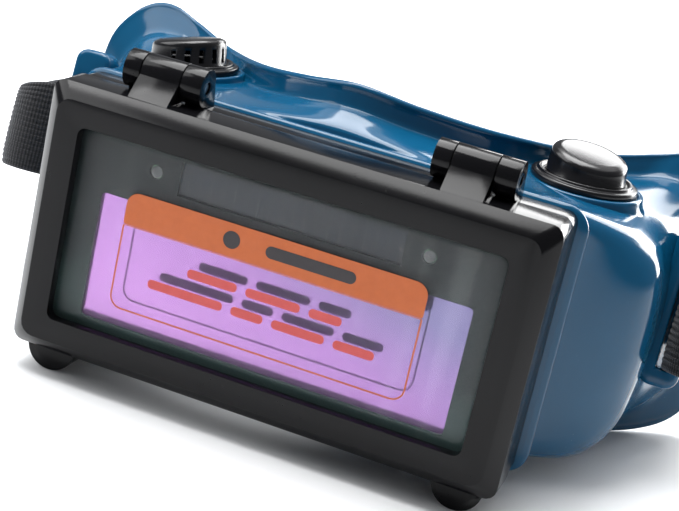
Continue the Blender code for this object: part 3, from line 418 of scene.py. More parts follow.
FRAME_BLACK = moulded_black("gloss_black_plastic", (0.0025, 0.0025, 0.003),
                            (0.005, 0.005, 0.006), 0.10, 0.20, Specular_IOR_Level=0.17)
VENT_BLACK = moulded_black("satin_black_plastic", (0.004, 0.004, 0.005),
                           (0.008, 0.008, 0.009), 0.15, 0.28, grain=0.00003,
                           Specular_IOR_Level=0.34)
HIDDEN_BLACK = moulded_black("matt_black_plastic", (0.012, 0.012, 0.012), (0.022, 0.022, 0.023),
                             0.40, 0.58, grain=0.00005)
BLUE_VINYL = make_blue_vinyl()
CLEAR_PLATE = make_clear("clear_plate", 0.04, (0.22, 0.27, 0.27))
CLEAR_FILM = make_clear("clear_film", 0.04, (0.30, 0.28, 0.31))
VIOLET_GLASS = make_violet_glass()
CASE_GREY = make_case_grey()
ORANGE_INK = make_print("orange_ink", (0.44, 0.092, 0.014), (0.50, 0.110, 0.020))
RED_INK = make_print("red_ink", (0.50, 0.060, 0.055), (0.56, 0.080, 0.075))
BLACK_INK = make_print("black_ink", (0.016, 0.013, 0.016), (0.024, 0.019, 0.022))
ELASTIC = make_elastic()
STEEL = make_steel()
CELLS = make_cells()
BOARD = make_board()
DARK_GLASS = make_dark_glass()


# ---------------------------------------------------------------- piece helpers

def piece_from(name, bm, *materials):
    mesh = bpy.data.meshes.new(name)
    bm.to_mesh(mesh)
    bm.free()
    obj = add_object(name, mesh)
    for mat in materials:
        mesh.materials.append(mat)
    return obj


def settle(obj):
    """Turns the evaluated modifiers into the object's own mesh."""
    bpy.context.view_layer.update()
    graph = bpy.context.evaluated_depsgraph_get()
    mesh = bpy.data.meshes.new_from_object(obj.evaluated_get(graph))
    obj.modifiers.clear()
    obj.data = mesh
    return obj


def smooth(obj, angle=35.0):
    obj.data.shade_smooth()
    obj.data.set_sharp_from_angle(angle=math.radians(angle))
    return obj


def keep(obj, body, slot, *nodes):
    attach(obj, body)
    if nodes:
        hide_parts(*nodes)


def drop(obj):
    bpy.data.objects.remove(obj)


def ease(obj, width, segments, angle):
    """Rounds over the edges sharper than an angle in degrees; settled by the caller."""
    step = obj.modifiers.new("ease", "BEVEL")
    step.width = width
    step.segments = segments
    step.limit_method = "ANGLE"
    step.angle_limit = math.radians(angle)


def take_out(obj, tool):
    """Subtracts a tool; settled by the caller."""
    step = obj.modifiers.new("cut", "BOOLEAN")
    step.operation = "DIFFERENCE"
    step.solver = "EXACT"
    step.object = tool


def one_material(obj):
    """Puts every face in the first material slot."""
    for face in obj.data.polygons:
        face.material_index = 0


def placed(bm, matrix):
    bm.transform(matrix)
    return bm


def mesh_of(obj):
    bm = bmesh.new()
    bm.from_mesh(obj.data)
    return bm


def dress(mesh, mat):
    mesh.materials.clear()
    mesh.materials.append(mat)


def eased_copy(node, width, mat):
    """A copy of a CAD node, its flats whole again and its edges rounded over."""
    bm = mesh_of(NODES[node])
    bmesh.ops.remove_doubles(bm, verts=bm.verts, dist=2e-6)
    bmesh.ops.dissolve_limit(bm, angle_limit=math.radians(1.0), verts=bm.verts, edges=bm.edges)
    obj = piece_from(node + "_fine", bm, mat)
    ease(obj, width, 3, 28.0)
    one_material(settle(obj))
    return smooth(obj, 30.0)


def quads(bm, first, second):
    """Joins two closed rings of as many points."""
    for k in range(len(first)):
        j = (k + 1) % len(first)
        bm.faces.new((first[k], first[j], second[j], second[k]))


def lathe(profile, sides):
    """A closed solid turned round Z from (radius, height) points."""
    bm = bmesh.new()
    rings = []
    turns = [2 * math.pi * k / sides for k in range(sides)]
    for radius, z in profile:
        rings.append([bm.verts.new((radius * math.cos(turn), radius * math.sin(turn), z))
                      for turn in (turns if radius > 0.0 else turns[:1])])
    closed = profile[0][0] > 0.0
    pairs = list(zip(rings, rings[1:])) + ([(rings[-1], rings[0])] if closed else [])
    for first, second in pairs:
        for k in range(sides):
            j = (k + 1) % sides
            if len(first) == 1:
                bm.faces.new((first[0], second[k], second[j]))
            elif len(second) == 1:
                bm.faces.new((first[k], second[0], first[j]))
            else:
                bm.faces.new((first[k], second[k], second[j], first[j]))
    bmesh.ops.recalc_face_normals(bm, faces=bm.faces)
    return bm


def rounded(points, radius, steps=4):
    """A (radius, height) profile whose listed corners are rounded off."""
    soft = []
    count = len(points)
    for k, point in enumerate(points):
        here = Vector(point)
        if k in (0, count - 1):
            soft.append(here)
            continue
        before, after = Vector(points[k - 1]), Vector(points[k + 1])
        reach = min(radius, (before - here).length * 0.45, (after - here).length * 0.45)
        start = here + (before - here).normalized() * reach
        end = here + (after - here).normalized() * reach
        for i in range(steps + 1):
            t = i / steps
            soft.append(start * (1 - t) ** 2 + here * (2 * t * (1 - t)) + end * t ** 2)
    return [(point.x, point.y) for point in soft]


def merged(bms):
    whole = bmesh.new()
    for bm in bms:
        mesh = bpy.data.meshes.new("merged")
        bm.to_mesh(mesh)
        bm.free()
        whole.from_mesh(mesh)
        bpy.data.meshes.remove(mesh)
    return whole


def cut(obj, bm):
    """Takes a shape out of a piece."""
    tool = piece_from("cutter", bm)
    take_out(obj, tool)
    settle(obj)
    drop(tool)


# ---------------------------------------------------------------- geometry node helpers

class Tree:
    """A geometry node tree with named inputs, ending in Realize Instances and Set Material."""

    def __init__(self, name, inputs):
        self.tree = bpy.data.node_groups.new(name, "GeometryNodeTree")
        face = self.tree.interface
        face.new_socket("Geometry", in_out="INPUT", socket_type="NodeSocketGeometry")
        self.ids = {}
        for label, kind, value in inputs:
            socket = face.new_socket(label, in_out="INPUT", socket_type="NodeSocket" + kind)
            socket.default_value = value
            self.ids[label] = socket.identifier
        face.new_socket("Geometry", in_out="OUTPUT", socket_type="NodeSocketGeometry")
        self.entry = self.tree.nodes.new("NodeGroupInput")
        self.exit = self.tree.nodes.new("NodeGroupOutput")

    def add(self, kind, links=(), **settings):
        node = self.tree.nodes.new(kind)
        for name, value in settings.items():
            setattr(node, name, value)
        for socket, source in dict(links).items():
            target = node.inputs[socket]
            if isinstance(source, bpy.types.NodeSocket):
                self.tree.links.new(source, target)
            else:
                target.default_value = source
        return node

    def given(self, label):
        return self.entry.outputs[label]

    def maths(self, operation, first, second=0.0):
        return self.add("ShaderNodeMath", {0: first, 1: second}, operation=operation).outputs[0]

    def vector(self, x, y, z):
        return self.add("ShaderNodeCombineXYZ", {0: x, 1: y, 2: z}).outputs[0]

    def end(self, geometry, mat):
        real = self.add("GeometryNodeRealizeInstances", {"Geometry": geometry})
        dress = self.add("GeometryNodeSetMaterial", {"Geometry": real.outputs[0],
                                                     "Material": mat})
        self.tree.links.new(dress.outputs[0], self.exit.inputs[0])

    def run(self, obj, **values):
        """Runs the tree on an object with these input values and settles the result."""
        step = obj.modifiers.new("nodes", "NODES")
        step.node_group = self.tree
        for label, value in values.items():
            step[self.ids[label.replace("_", " ")]] = value
        return settle(obj)


def slot_ring_tree(mat):
    """Upright bars side by side on an arc round Z, to be cut out of a cap's wall."""
    tree = Tree("slot ring", [("Count", "Int", 7), ("Radius", "Float", 0.01),
                              ("Arc", "Float", 2.3), ("Bar Length", "Float", 0.005),
                              ("Bar Width", "Float", 0.0014), ("Bar Height", "Float", 0.003),
                              ("Base", "Float", 0.003)])
    line = tree.add("GeometryNodeMeshLine", {"Count": tree.given("Count")})
    index = tree.add("GeometryNodeInputIndex").outputs[0]
    share = tree.maths("DIVIDE", index, tree.maths("SUBTRACT", tree.given("Count"), 1.0))
    turn = tree.maths("ADD", tree.maths("MULTIPLY", tree.maths("SUBTRACT", share, 0.5),
                                        tree.given("Arc")), math.pi / 2)
    share_tall = tree.maths("ADD", tree.maths("MULTIPLY", tree.maths("SINE", turn), 0.4), 0.6)
    lift = tree.maths("MULTIPLY", share_tall, tree.given("Bar Height"))
    place = tree.vector(tree.maths("MULTIPLY", tree.given("Radius"), tree.maths("COSINE", turn)),
                        tree.maths("MULTIPLY", tree.given("Radius"), tree.maths("SINE", turn)),
                        tree.maths("ADD", tree.given("Base"), tree.maths("DIVIDE", lift, 2.0)))
    points = tree.add("GeometryNodeSetPosition", {"Geometry": line.outputs[0],
                                                  "Position": place})
    bar = tree.add("GeometryNodeMeshCube")
    copies = tree.add("GeometryNodeInstanceOnPoints", {
        "Points": points.outputs[0], "Instance": bar.outputs[0],
        "Rotation": tree.vector(0.0, 0.0, turn),
        "Scale": tree.vector(tree.given("Bar Length"), tree.given("Bar Width"), lift)})
    tree.end(copies.outputs[0], mat)
    return tree


def corner_tree(mat):
    """The given piece four times, on the corners of a rectangle round the origin."""
    tree = Tree("four corners", [("Width", "Float", 0.1), ("Height", "Float", 0.04)])
    grid = tree.add("GeometryNodeMeshGrid", {"Size X": tree.given("Width"),
                                             "Size Y": tree.given("Height"),
                                             "Vertices X": 2, "Vertices Y": 2})
    copies = tree.add("GeometryNodeInstanceOnPoints", {
        "Points": grid.outputs[0], "Instance": tree.entry.outputs["Geometry"]})
    tree.end(copies.outputs[0], mat)
    return tree


def rib_tree(mat):
    """Raises cords along a band whose points carry how far across it they lie."""
    tree = Tree("lengthwise ribs", [("Count", "Int", 17), ("Height", "Float", 0.0002)])
    across = tree.add("GeometryNodeInputNamedAttribute", {"Name": "across"}, data_type="FLOAT")
    faces = tree.add("GeometryNodeInputNamedAttribute", {"Name": "broad"}, data_type="FLOAT")
    wave = tree.maths("ABSOLUTE", tree.maths("SINE", tree.maths(
        "MULTIPLY", tree.maths("MULTIPLY", across.outputs["Attribute"], tree.given("Count")),
        math.pi)))
    lift = tree.maths("MULTIPLY", tree.maths("SUBTRACT", tree.maths("POWER", wave, 0.6), 1.0),
                      tree.maths("MULTIPLY", tree.given("Height"), faces.outputs["Attribute"]))
    normal = tree.add("GeometryNodeInputNormal").outputs[0]
    shift = tree.add("ShaderNodeVectorMath", {0: normal, "Scale": lift}, operation="SCALE")
    moved = tree.add("GeometryNodeSetPosition", {
        "Geometry": tree.entry.outputs["Geometry"], "Offset": shift.outputs[0]})
    tree.end(moved.outputs[0], mat)
    return tree


# ---------------------------------------------------------------- soft body

LIP_EDGE = [
    (0.00, (0.0, 38.0, 42.9)), (0.08, (15.0, 43.5, 40.4)), (0.17, (33.0, 60.0, 36.2)),
    (0.25, (52.0, 86.0, 32.4)), (0.32, (66.0, 97.0, 34.2)), (0.37, (75.0, 100.5, 36.6)),
    (0.41, (82.0, 101.5, 36.0)), (0.44, (88.0, 101.5, 32.0)), (0.48, (94.0, 101.0, 23.0)),
    (0.52, (96.0, 100.5, 8.0)), (0.57, (95.5, 100.0, -12.0)), (0.63, (91.0, 98.0, -31.0)),
    (0.69, (81.5, 90.0, -37.6)), (0.77, (65.0, 75.0, -38.2)), (0.84, (48.0, 59.0, -38.2)),
    (0.91, (30.5, 51.0, -33.5)), (0.96, (14.5, 46.5, -21.5)), (1.00, (0.0, 44.5, -15.0)),
]
LIP_ROOT = [
    (0.00, (0.0, 37.0, 37.2)), (0.08, (14.6, 42.0, 34.8)), (0.17, (32.0, 58.0, 30.6)),
    (0.25, (50.0, 81.0, 27.0)), (0.32, (62.5, 92.0, 27.8)), (0.37, (70.5, 95.0, 29.2)),
    (0.41, (77.0, 96.0, 28.6)), (0.44, (82.0, 96.5, 25.6)), (0.48, (87.0, 96.5, 18.5)),
    (0.52, (89.5, 96.0, 6.5)), (0.57, (89.3, 95.5, -11.0)), (0.63, (85.0, 93.5, -25.5)),
    (0.69, (77.0, 86.5, -32.0)), (0.77, (63.0, 74.0, -32.8)), (0.84, (47.5, 59.5, -32.8)),
    (0.91, (33.0, 50.0, -28.5)), (0.96, (16.5, 43.5, -17.0)), (1.00, (0.0, 40.5, -11.0)),
]
CREASE = [
    (0.00, (0.0, 29.6, 33.5)), (0.08, (15.0, 30.5, 32.8)), (0.17, (33.0, 36.0, 31.0)),
    (0.25, (52.0, 47.0, 28.8)), (0.32, (67.5, 48.5, 26.8)), (0.38, (75.5, 47.5, 21.8)),
    (0.44, (79.0, 46.0, 14.0)), (0.51, (80.0, 45.5, 0.0)), (0.57, (79.3, 45.5, -14.0)),
    (0.63, (77.0, 45.5, -25.5)), (0.69, (70.5, 45.5, -33.2)), (0.77, (58.0, 43.5, -33.6)),
    (0.84, (45.0, 41.0, -32.4)), (0.91, (30.0, 38.0, -32.0)), (0.96, (15.0, 35.5, -28.5)),
    (1.00, (0.0, 34.5, -25.5)),
]
HALF_STEPS = 150            # sections along half of the body's outline
WALL_STEPS = 44             # rings from the groove behind the rim to the lip's root
WALL_END = 0.975            # share of the wall that is left before the fillet to the lip
SIDE_WAIST = 0.0032         # how far the sides are drawn in, at x = WAIST_X
WAIST_X = 0.0800
BODY_WALL = 0.0020
LIP_THICK = 0.0018
LIP_FILLET = 0.28           # share of the lip's height that its fillet takes up
LIP_BEAD = 0.0011           # radius of the bead along the lip's edge
BEAD_STEPS, BEAD_FROM, BEAD_ARC = 10, -25.0, 230.0
BEAD_SINK = 0.0010          # from the lip's edge down to the middle of the bead
RIM_CORNER = 0.0060
HALF_RIM = Vector((0.0610, 0.0322))         # half width and height of the fixed frame
HALF_NECK = Vector((0.0573, 0.0285))        # the body's clamped hole
HALF_CLAMP = Vector((0.0593, 0.0305))       # the clamp ring and its gap
RIM_FRONT_Y = 0.0218
RIM_BACK_Y = 0.0248
CLAMP_BACK_Y = 0.0274


def curve_through(table, at):
    """The point at a parameter on a smooth curve through (parameter, point) rows."""
    last = len(table) - 1
    i = 0
    while i < last - 1 and at > table[i + 1][0]:
        i += 1
    t0, p0 = table[i][0], Vector(table[i][1])
    t1, p1 = table[i + 1][0], Vector(table[i + 1][1])

    def slope(k):
        before = max(k - 1, 0)
        after = min(k + 1, last)
        rise = Vector(table[after][1]) - Vector(table[before][1])
        return rise / (table[after][0] - table[before][0])

    span = t1 - t0
    s = (at - t0) / span
    m0 = slope(i) * span
    m1 = slope(i + 1) * span
    return ((2 * s ** 3 - 3 * s ** 2 + 1) * p0 + (s ** 3 - 2 * s ** 2 + s) * m0
            + (3 * s ** 2 - 2 * s ** 3) * p1 + (s ** 3 - s ** 2) * m1)


def rim_point(half, grow, y, place):
    """A point on the right half of a rounded rectangle; place runs as in the tables."""
    half_w, half_h = half.x + grow[0], half.y + grow[1]
    corner_top, corner_low = 0.345, 0.66
    if place < corner_top:
        x, z = half_w * place / corner_top, half_h
    elif place < corner_low:
        x, z = half_w, half_h * (1 - 2 * (place - corner_top) / (corner_low - corner_top))
    else:
        x, z = half_w * (1 - (place - corner_low) / (1 - corner_low)), -half_h
    dx, dz = x - (half_w - RIM_CORNER), abs(z) - (half_h - RIM_CORNER)
    if dx > 0 and dz > 0:
        length = math.hypot(dx, dz)
        x = half_w - RIM_CORNER + dx * RIM_CORNER / length
        z = math.copysign(half_h - RIM_CORNER + dz * RIM_CORNER / length, z)
    return Vector((x, y, z))


def across_middle(table):
    """The table with a mirrored row beyond each end, so that both halves meet smoothly."""
    (first, (fx, fy, fz)), (last, (lx, ly, lz)) = table[1], table[-2]
    return [(-first, (-fx, fy, fz))] + table + [(2.0 - last, (-lx, ly, lz))]


def in_mm(table, place):
    return curve_through(across_middle(table), place) * MM


def column(place):
    """The front bead, the outer wall, the lip's root and its edge at one place."""
    front_table = [(k, rim_point(HALF_RIM, grow, y, place)) for k, (grow, y) in enumerate((
        ((0.0010, -0.0002), RIM_FRONT_Y), ((0.0026, 0.0008), RIM_FRONT_Y + 0.0010),
        ((0.0023, 0.0005), RIM_BACK_Y - 0.0002), ((0.0010, -0.0004), RIM_BACK_Y + 0.0010)))]
    groove = rim_point(HALF_RIM, (0.0008, -0.0006), CLAMP_BACK_Y + 0.0012, place)
    crease = in_mm(CREASE, place)
    root = in_mm(LIP_ROOT, place)
    middle = (crease + root) / 2
    middle.x -= SIDE_WAIST * min(middle.x / WAIST_X, 1.0) ** 4
    wall_table = [(0.0, groove), (0.42, crease), (0.72, middle), (1.0, root)]
    outside = [curve_through(front_table, k / 4) for k in range(13)]
    wall = [curve_through(wall_table, WALL_END * k / WALL_STEPS) for k in range(WALL_STEPS + 1)]
    return outside, wall, root, in_mm(LIP_EDGE, place)


def make_body_mesh():
    """The whole skin of the body, its right half drawn ring by ring and mirrored."""
    places = [k / HALF_STEPS for k in range(HALF_STEPS + 1)]
    columns = [column(place) for place in places]
    last = len(columns) - 1
    lines = []
    for k, (outside, wall, root, edge) in enumerate(columns):
        behind, beyond = columns[max(k - 1, 0)], columns[min(k + 1, last)]
        ahead = beyond[3] - behind[3]
        ahead_wall = [there - here for here, there in zip(behind[1], beyond[1])]
        if k in (0, last):
            ahead.y = ahead.z = 0.0
            for step in ahead_wall:
                step.y = step.z = 0.0
        up = (edge - root).normalized()
        normal = ahead.cross(edge - root).normalized()
        if normal.y < 0:
            normal = -normal
        foot = root + (edge - root) * LIP_FILLET
        start = wall[-1]
        fillet = [start * (1 - t) ** 2 + root * (2 * t * (1 - t)) + foot * t ** 2
                  for t in (0.17, 0.33, 0.5, 0.67, 0.83)]
        rim = edge - up * BEAD_SINK + normal * LIP_THICK / 2
        shoulder = edge - up * (BEAD_SINK + LIP_BEAD)
        rise = [foot * (1 - t) + shoulder * t for t in (0.0, 0.33, 0.66, 1.0)]
        bead = []
        for i in range(BEAD_STEPS + 1):
            turn = math.radians(BEAD_FROM + BEAD_ARC * i / BEAD_STEPS)
            bead.append(rim + (up * math.sin(turn) - normal * math.cos(turn)) * LIP_BEAD)
        inner = []
        for i, point in enumerate(wall):
            along = wall[min(i + 1, len(wall) - 1)] - wall[max(i - 1, 0)]
            inward = along.cross(ahead_wall[i]).normalized()
            inner.append(point + inward * BODY_WALL)
        back_foot = inner[-1] + normal * LIP_THICK
        drop_back = [shoulder + normal * LIP_THICK,
                     (edge + root) / 2 + normal * LIP_THICK * 1.05, back_foot]
        clamp = [rim_point(half, (0, 0), y, places[k])
                 for half, y in ((HALF_CLAMP, CLAMP_BACK_Y + 0.0003), (HALF_CLAMP, RIM_BACK_Y),
                                 (HALF_NECK, RIM_BACK_Y), (HALF_NECK, RIM_FRONT_Y))]
        line = (outside + wall + fillet + rise + bead + drop_back
                + list(reversed(inner[3:-1:2])) + clamp)
        if k in (0, last):
            line = [Vector((0.0, point.y, point.z)) for point in line]
        lines.append(line)
    bm = bmesh.new()
    grid = [[bm.verts.new(point + DESIGN) for point in line] for line in lines]
    for near, far in zip(grid, grid[1:]):
        quads(bm, near, far)
    bmesh.ops.mirror(bm, geom=bm.verts[:] + bm.edges[:] + bm.faces[:],
                     matrix=Matrix.Identity(4), merge_dist=1e-6, axis="X")
    bmesh.ops.remove_doubles(bm, verts=bm.verts, dist=1e-6)
    bmesh.ops.recalc_face_normals(bm, faces=bm.faces)
    return bm


# ---------------------------------------------------------------- vents

VENT_HOLE = 0.0078
VENT_BASE_RADIUS = 0.0134
VENT_BASE_THICK = 0.0026
VENT_CAP_RADIUS = 0.0101
VENT_COLLAR = 0.0012
SEAT_SHARE = 0.75           # height of the cap's seat as a share of the base's thickness
LOWER_THINNER = 0.7         # the lower bases' thickness as a share of the upper ones'
COLLAR_SPREAD = 0.0024
COLLAR_DEPTHS = {1: -0.0046, -1: -0.0036}    # by level, from the flange down
GAP = 0.0003                # between pieces that turn or rest on each other
CAP_WALL = 0.0013
CAP_NARROWS = 0.955         # the cap's top radius as a share of its foot
SLOT_COUNT = 7
SLOT_ARC = 132.0
SLOT_WIDTH = 0.0014
SLOT_LENGTH = 0.0046        # of the cutting bars, through the wall
SLOT_FOOT = 0.0009          # from the cap's foot to the slots
SLOT_CLEAR = 0.0034         # height of the tall side that the slots leave uncut
LOWER_SCALE = 0.76
UPPER_VENT = (0.0539, 0.0638, 0.0284)
UPPER_VENT_LEAN = {-1: 7.0, 1: 0.0}   # degrees outward
CAP_HEIGHTS = {1: (0.0070, 0.0042), -1: (0.0036, 0.0026)}   # tall and low side by level
LOWER_VENT = (0.0460, 0.0425, -0.0324)
CAP_TURNS = {(-1, 1): -115.0, (1, 1): 40.0, (-1, -1): 90.0, (1, -1): -90.0}


def vent_frame(side, level):
    """Where a vent stands, its own +Z pointing out of the body."""
    if level > 0:
        x, y, z = UPPER_VENT
        turn = Matrix.Rotation(math.radians(side * UPPER_VENT_LEAN[side]), 4, "Y")
    else:
        x, y, z = LOWER_VENT
        turn = Matrix.Rotation(math.pi, 4, "X")
    return Matrix.Translation(DESIGN + Vector((side * x, y, z))) @ turn


def vent_parts():
    """Yields side, level, label, scale, frame and the base's thickness of each vent."""
    for side, label in SIDES:
        for level, height in ((1, "upper"), (-1, "lower")):
            scale = 1.0 if level > 0 else LOWER_SCALE
            thick = VENT_BASE_THICK * (1.0 if level > 0 else LOWER_THINNER)
            yield side, level, height + "_" + label, scale, vent_frame(side, level), thick


def make_vent_bases():
    """A flange with a groove inside its rim and a neck with a snap bead, for each vent."""
    for _, _, label, scale, place, thick in vent_parts():
        rim = VENT_BASE_RADIUS * scale
        neck = VENT_HOLE * scale - GAP
        bore = neck - 0.0014
        top = GAP + thick
        seat = GAP + thick * SEAT_SHARE
        ring = rounded([(bore, seat - 0.0008), (bore, seat), (rim - 0.0027, seat),
                        (rim - 0.0024, top - 0.0001), (rim - 0.0016, top),
                        (rim - 0.0014, top - 0.0007), (rim - 0.0010, top - 0.0007),
                        (rim - 0.0002, top - 0.0009), (rim, top - 0.0014),
                        (rim, GAP + 0.0004), (rim - 0.0005, GAP), (neck, GAP),
                        (neck, -0.0026), (neck + 0.0002, -0.0030), (neck - 0.0005, -0.0040),
                        (bore, -0.0040), (bore, -0.0030)], 0.00025)
        obj = smooth(piece_from("vent_flange_" + label, placed(lathe(ring, 96), place),
                                VENT_BLACK), 40.0)
        keep(obj, "goggle", "black_plastic", "vent_base_" + label)


def cap_mesh(scale, thick, tall, low_side):
    """A hollow, slightly conical cap with a crowned top that slopes to its low side."""
    radius = VENT_CAP_RADIUS * scale
    base = GAP + thick * SEAT_SHARE + GAP
    slant = (tall - low_side) / (2 * radius)
    middle = (tall + low_side) / 2
    edge = 0.0016 * scale
    crown = 0.0005 * scale
    narrow = radius * CAP_NARROWS
    top = 1.0
    outer = [(0.0, top + edge + crown)]
    for k in range(1, 9):
        r = (narrow - edge) * k / 8
        outer.append((r, top + edge + crown * (1 - (r / narrow) ** 2)))
    for k in range(1, 9):
        angle = math.pi / 2 * (1 - k / 8)
        outer.append((narrow - edge + edge * math.cos(angle), top + edge * math.sin(angle)))
    outer += [(radius - 0.0002, base + 0.0004), (radius, base + 0.0001), (radius - 0.0002, base),
              (radius - CAP_WALL, base), (narrow - CAP_WALL, top),
              (narrow - CAP_WALL - 0.0006, top + 0.0003), (0.0, top + 0.0003)]
    bm = lathe(outer, 96)
    for vert in bm.verts:
        if vert.co.z > 0.5:
            vert.co.z += base + middle - top - edge + slant * vert.co.y
    return bm


def make_vent_caps():
    """The turning caps, slotted round their tall side."""
    ring = slot_ring_tree(VENT_BLACK)
    for side, level, label, scale, place, thick in vent_parts():
        tall, low_side = CAP_HEIGHTS[level]
        cap = piece_from("vent_dome_" + label, cap_mesh(scale, thick, tall, low_side),
                         VENT_BLACK)
        bars = piece_from("slot_bars", bmesh.new())
        ring.run(bars, Count=SLOT_COUNT, Radius=VENT_CAP_RADIUS * scale,
                 Arc=math.radians(SLOT_ARC), Bar_Length=SLOT_LENGTH,
                 Bar_Width=SLOT_WIDTH * scale, Bar_Height=tall - SLOT_CLEAR * scale,
                 Base=2 * GAP + VENT_BASE_THICK * SEAT_SHARE + SLOT_FOOT)
        take_out(cap, bars)
        ease(cap, 0.00018, 2, 50.0)
        settle(cap)
        drop(bars)
        turn = Matrix.Rotation(math.radians(CAP_TURNS[(side, level)]), 4, "Z")
        cap.data.transform(place @ turn)
        dress(cap.data, VENT_BLACK)
        one_material(cap)
        smooth(cap, 40.0)
        keep(cap, "vent_cap_" + label, "black_plastic", "vent_cap_" + label)


# ---------------------------------------------------------------- strap line

STRAP_WIDTH = 0.0260
STRAP_THICK = 0.0013
STRAP_FALL = 11.0           # degrees that the strap's sides slope down to the back
STRAP_SQUARE = 0.80         # below 1 the loop at the back is squarer than an ellipse
STRAP_SINKS_BY = 0.7        # share of the back quarter over which the strap sinks
LUG_Y = 0.0700
STRAP_CENTRE_Z = 0.0012
STRAP_TAIL_X = 0.0985
STRAP_MAIN_X = 0.1018
STRAP_BACK_Y = 0.2345
STRAP_HALF_SPREAD = 0.1040
STRAP_FINE = 6              # points between two of the table's rows
STRAP_BACK_STEPS = 96
STRAP_FRAME = (Matrix.Translation(Vector((0.0, LUG_Y, STRAP_CENTRE_Z)))
               @ Matrix.Rotation(math.radians(-STRAP_FALL), 4, "X"))
STRAP_FRONT = [
    (98.5, 66.0), (98.5, 54.0), (98.5, 42.0), (98.2, 34.0), (95.2, 23.0), (89.3, 12.0),
    (85.2, 5.0), (84.5, 0.0), (84.9, -5.5), (88.0, -11.0), (93.5, -13.5), (98.6, -11.5),
    (101.0, -6.0), (101.4, 2.0), (101.5, 14.0), (101.7, 26.0), (101.8, 34.0), (101.8, 42.0),
    (101.8, 54.0), (101.8, 66.0),
]
FOLD_ROW = 10.0             # the row at the front of the fold
FOLD_SPREAD = 2.4
EDGE_CURL = 0.0009
BOW_ROW = 12.2              # the row where the upper edge dips most, just outside the fold
BOW_SPREAD = 1.9
BOW_DEPTH = 0.0042


def strap_route():
    """The strap's right half as (middle, across, row) from the tail's end to the back."""
    last = len(STRAP_FRONT) - 1
    table = [(k, (x, back, 0.0)) for k, (x, back) in enumerate(STRAP_FRONT)]
    up = STRAP_FRAME.to_3x3() @ Vector((0.0, 0.0, 1.0))
    route = []
    for k in range(STRAP_FINE * last + 1):
        at = k / STRAP_FINE
        route.append((STRAP_FRAME @ (curve_through(table, at) * MM), up, at))
    start = route[-1][0]
    reach = STRAP_BACK_Y - start.y
    low = STRAP_WIDTH / 2 - DESIGN.z
    slope = math.tan(math.radians(STRAP_FALL)) * reach
    middles = []
    for k in range(1, STRAP_BACK_STEPS + 1):
        share = k / STRAP_BACK_STEPS
        angle = math.pi / 2 * share
        x = STRAP_MAIN_X * max(math.cos(angle), 0.0) ** STRAP_SQUARE
        x += (STRAP_HALF_SPREAD - STRAP_MAIN_X) * math.sin(2 * angle)
        sunk = 1 - (1 - min(share / STRAP_SINKS_BY, 1.0)) ** 2.2
        sink = min(start.z - low, slope)
        middles.append(Vector((x, start.y + reach * math.sin(angle), start.z - sink * sunk)))
    middles[-1].x = 0.0
    for k, middle in enumerate(middles):
        behind = middles[k - 1] if k else start
        ahead = middles[k + 1] if k + 1 < len(middles) else middle + Vector((-0.01, 0.0, 0.0))
        run = (ahead - behind).normalized()
        across = Vector((0.0, 0.0, 1.0)) - run * run.z
        route.append((middle, across.normalized(), float(last + k)))
    return route


RIBS = 17
RIB_HEIGHT = 0.00030
ACROSS_STEPS = RIBS * 4     # points over the strap's width on each face


def make_headband():
    """The ribbed elastic, with its length and width as a UV map for the knit."""
    half = strap_route()
    flip = Vector((-1.0, 1.0, 1.0))
    line = half + [(middle * flip, across * flip, row) for middle, across, row
                   in reversed(half[:-1])]
    bm = bmesh.new()
    uv = bm.loops.layers.uv.new("strap")
    across_layer = bm.verts.layers.float.new("across")
    broad_layer = bm.verts.layers.float.new("broad")
    rows, lengths, total = [], [], 0.0
    for k, (middle, across, row) in enumerate(line):
        if k:
            total += (middle - line[k - 1][0]).length
        lengths.append(total)
        run = line[min(k + 1, len(line) - 1)][0] - line[max(k - 1, 0)][0]
        side = across.cross(run).normalized()
        fold = math.exp(-((row - FOLD_ROW) / FOLD_SPREAD) ** 2)
        half_width = STRAP_WIDTH / 2 * (1 - 0.03 * fold)
        bow = math.exp(-((row - BOW_ROW) / BOW_SPREAD) ** 2)
        ring = []
        for face in (1, -1):
            for i in range(ACROSS_STEPS + 1):
                share = i / ACROSS_STEPS if face > 0 else 1 - i / ACROSS_STEPS
                v = 2 * share - 1
                thin = math.sqrt(max(1 - abs(v) ** 24, 0.0))
                curl = side * EDGE_CURL * fold * v ** 4
                rise = half_width * v - BOW_DEPTH * bow * max(v, 0.0) ** 2
                point = (middle + across * rise + curl
                         + side * face * STRAP_THICK / 2 * (0.35 + 0.65 * thin))
                vert = bm.verts.new(point + DESIGN)
                vert[across_layer] = share
                vert[broad_layer] = 0.0 if i in (0, ACROSS_STEPS) else 1.0
                ring.append((vert, share))
        rows.append(ring)
    count = len(rows[0])
    for k in range(len(rows) - 1):
        for i in range(count):
            j = (i + 1) % count
            corners = ((rows[k][i], lengths[k]), (rows[k][j], lengths[k]),
                       (rows[k + 1][j], lengths[k + 1]), (rows[k + 1][i], lengths[k + 1]))
            face = bm.faces.new([vert for (vert, _), _ in corners])
            for loop, ((_, share), length) in zip(face.loops, corners):
                loop[uv].uv = (length, share * STRAP_WIDTH)
    for ring in (rows[0], rows[-1]):
        bm.faces.new([vert for vert, _ in ring])
    bmesh.ops.recalc_face_normals(bm, faces=bm.faces)
    obj = piece_from("ribbed_headband", bm, ELASTIC)
    rib_tree(ELASTIC).run(obj, Count=RIBS, Height=RIB_HEIGHT)
    smooth(obj, 70.0)
    keep(obj, "goggle", "elastic_black", "headband")


# ---------------------------------------------------------------- body piece

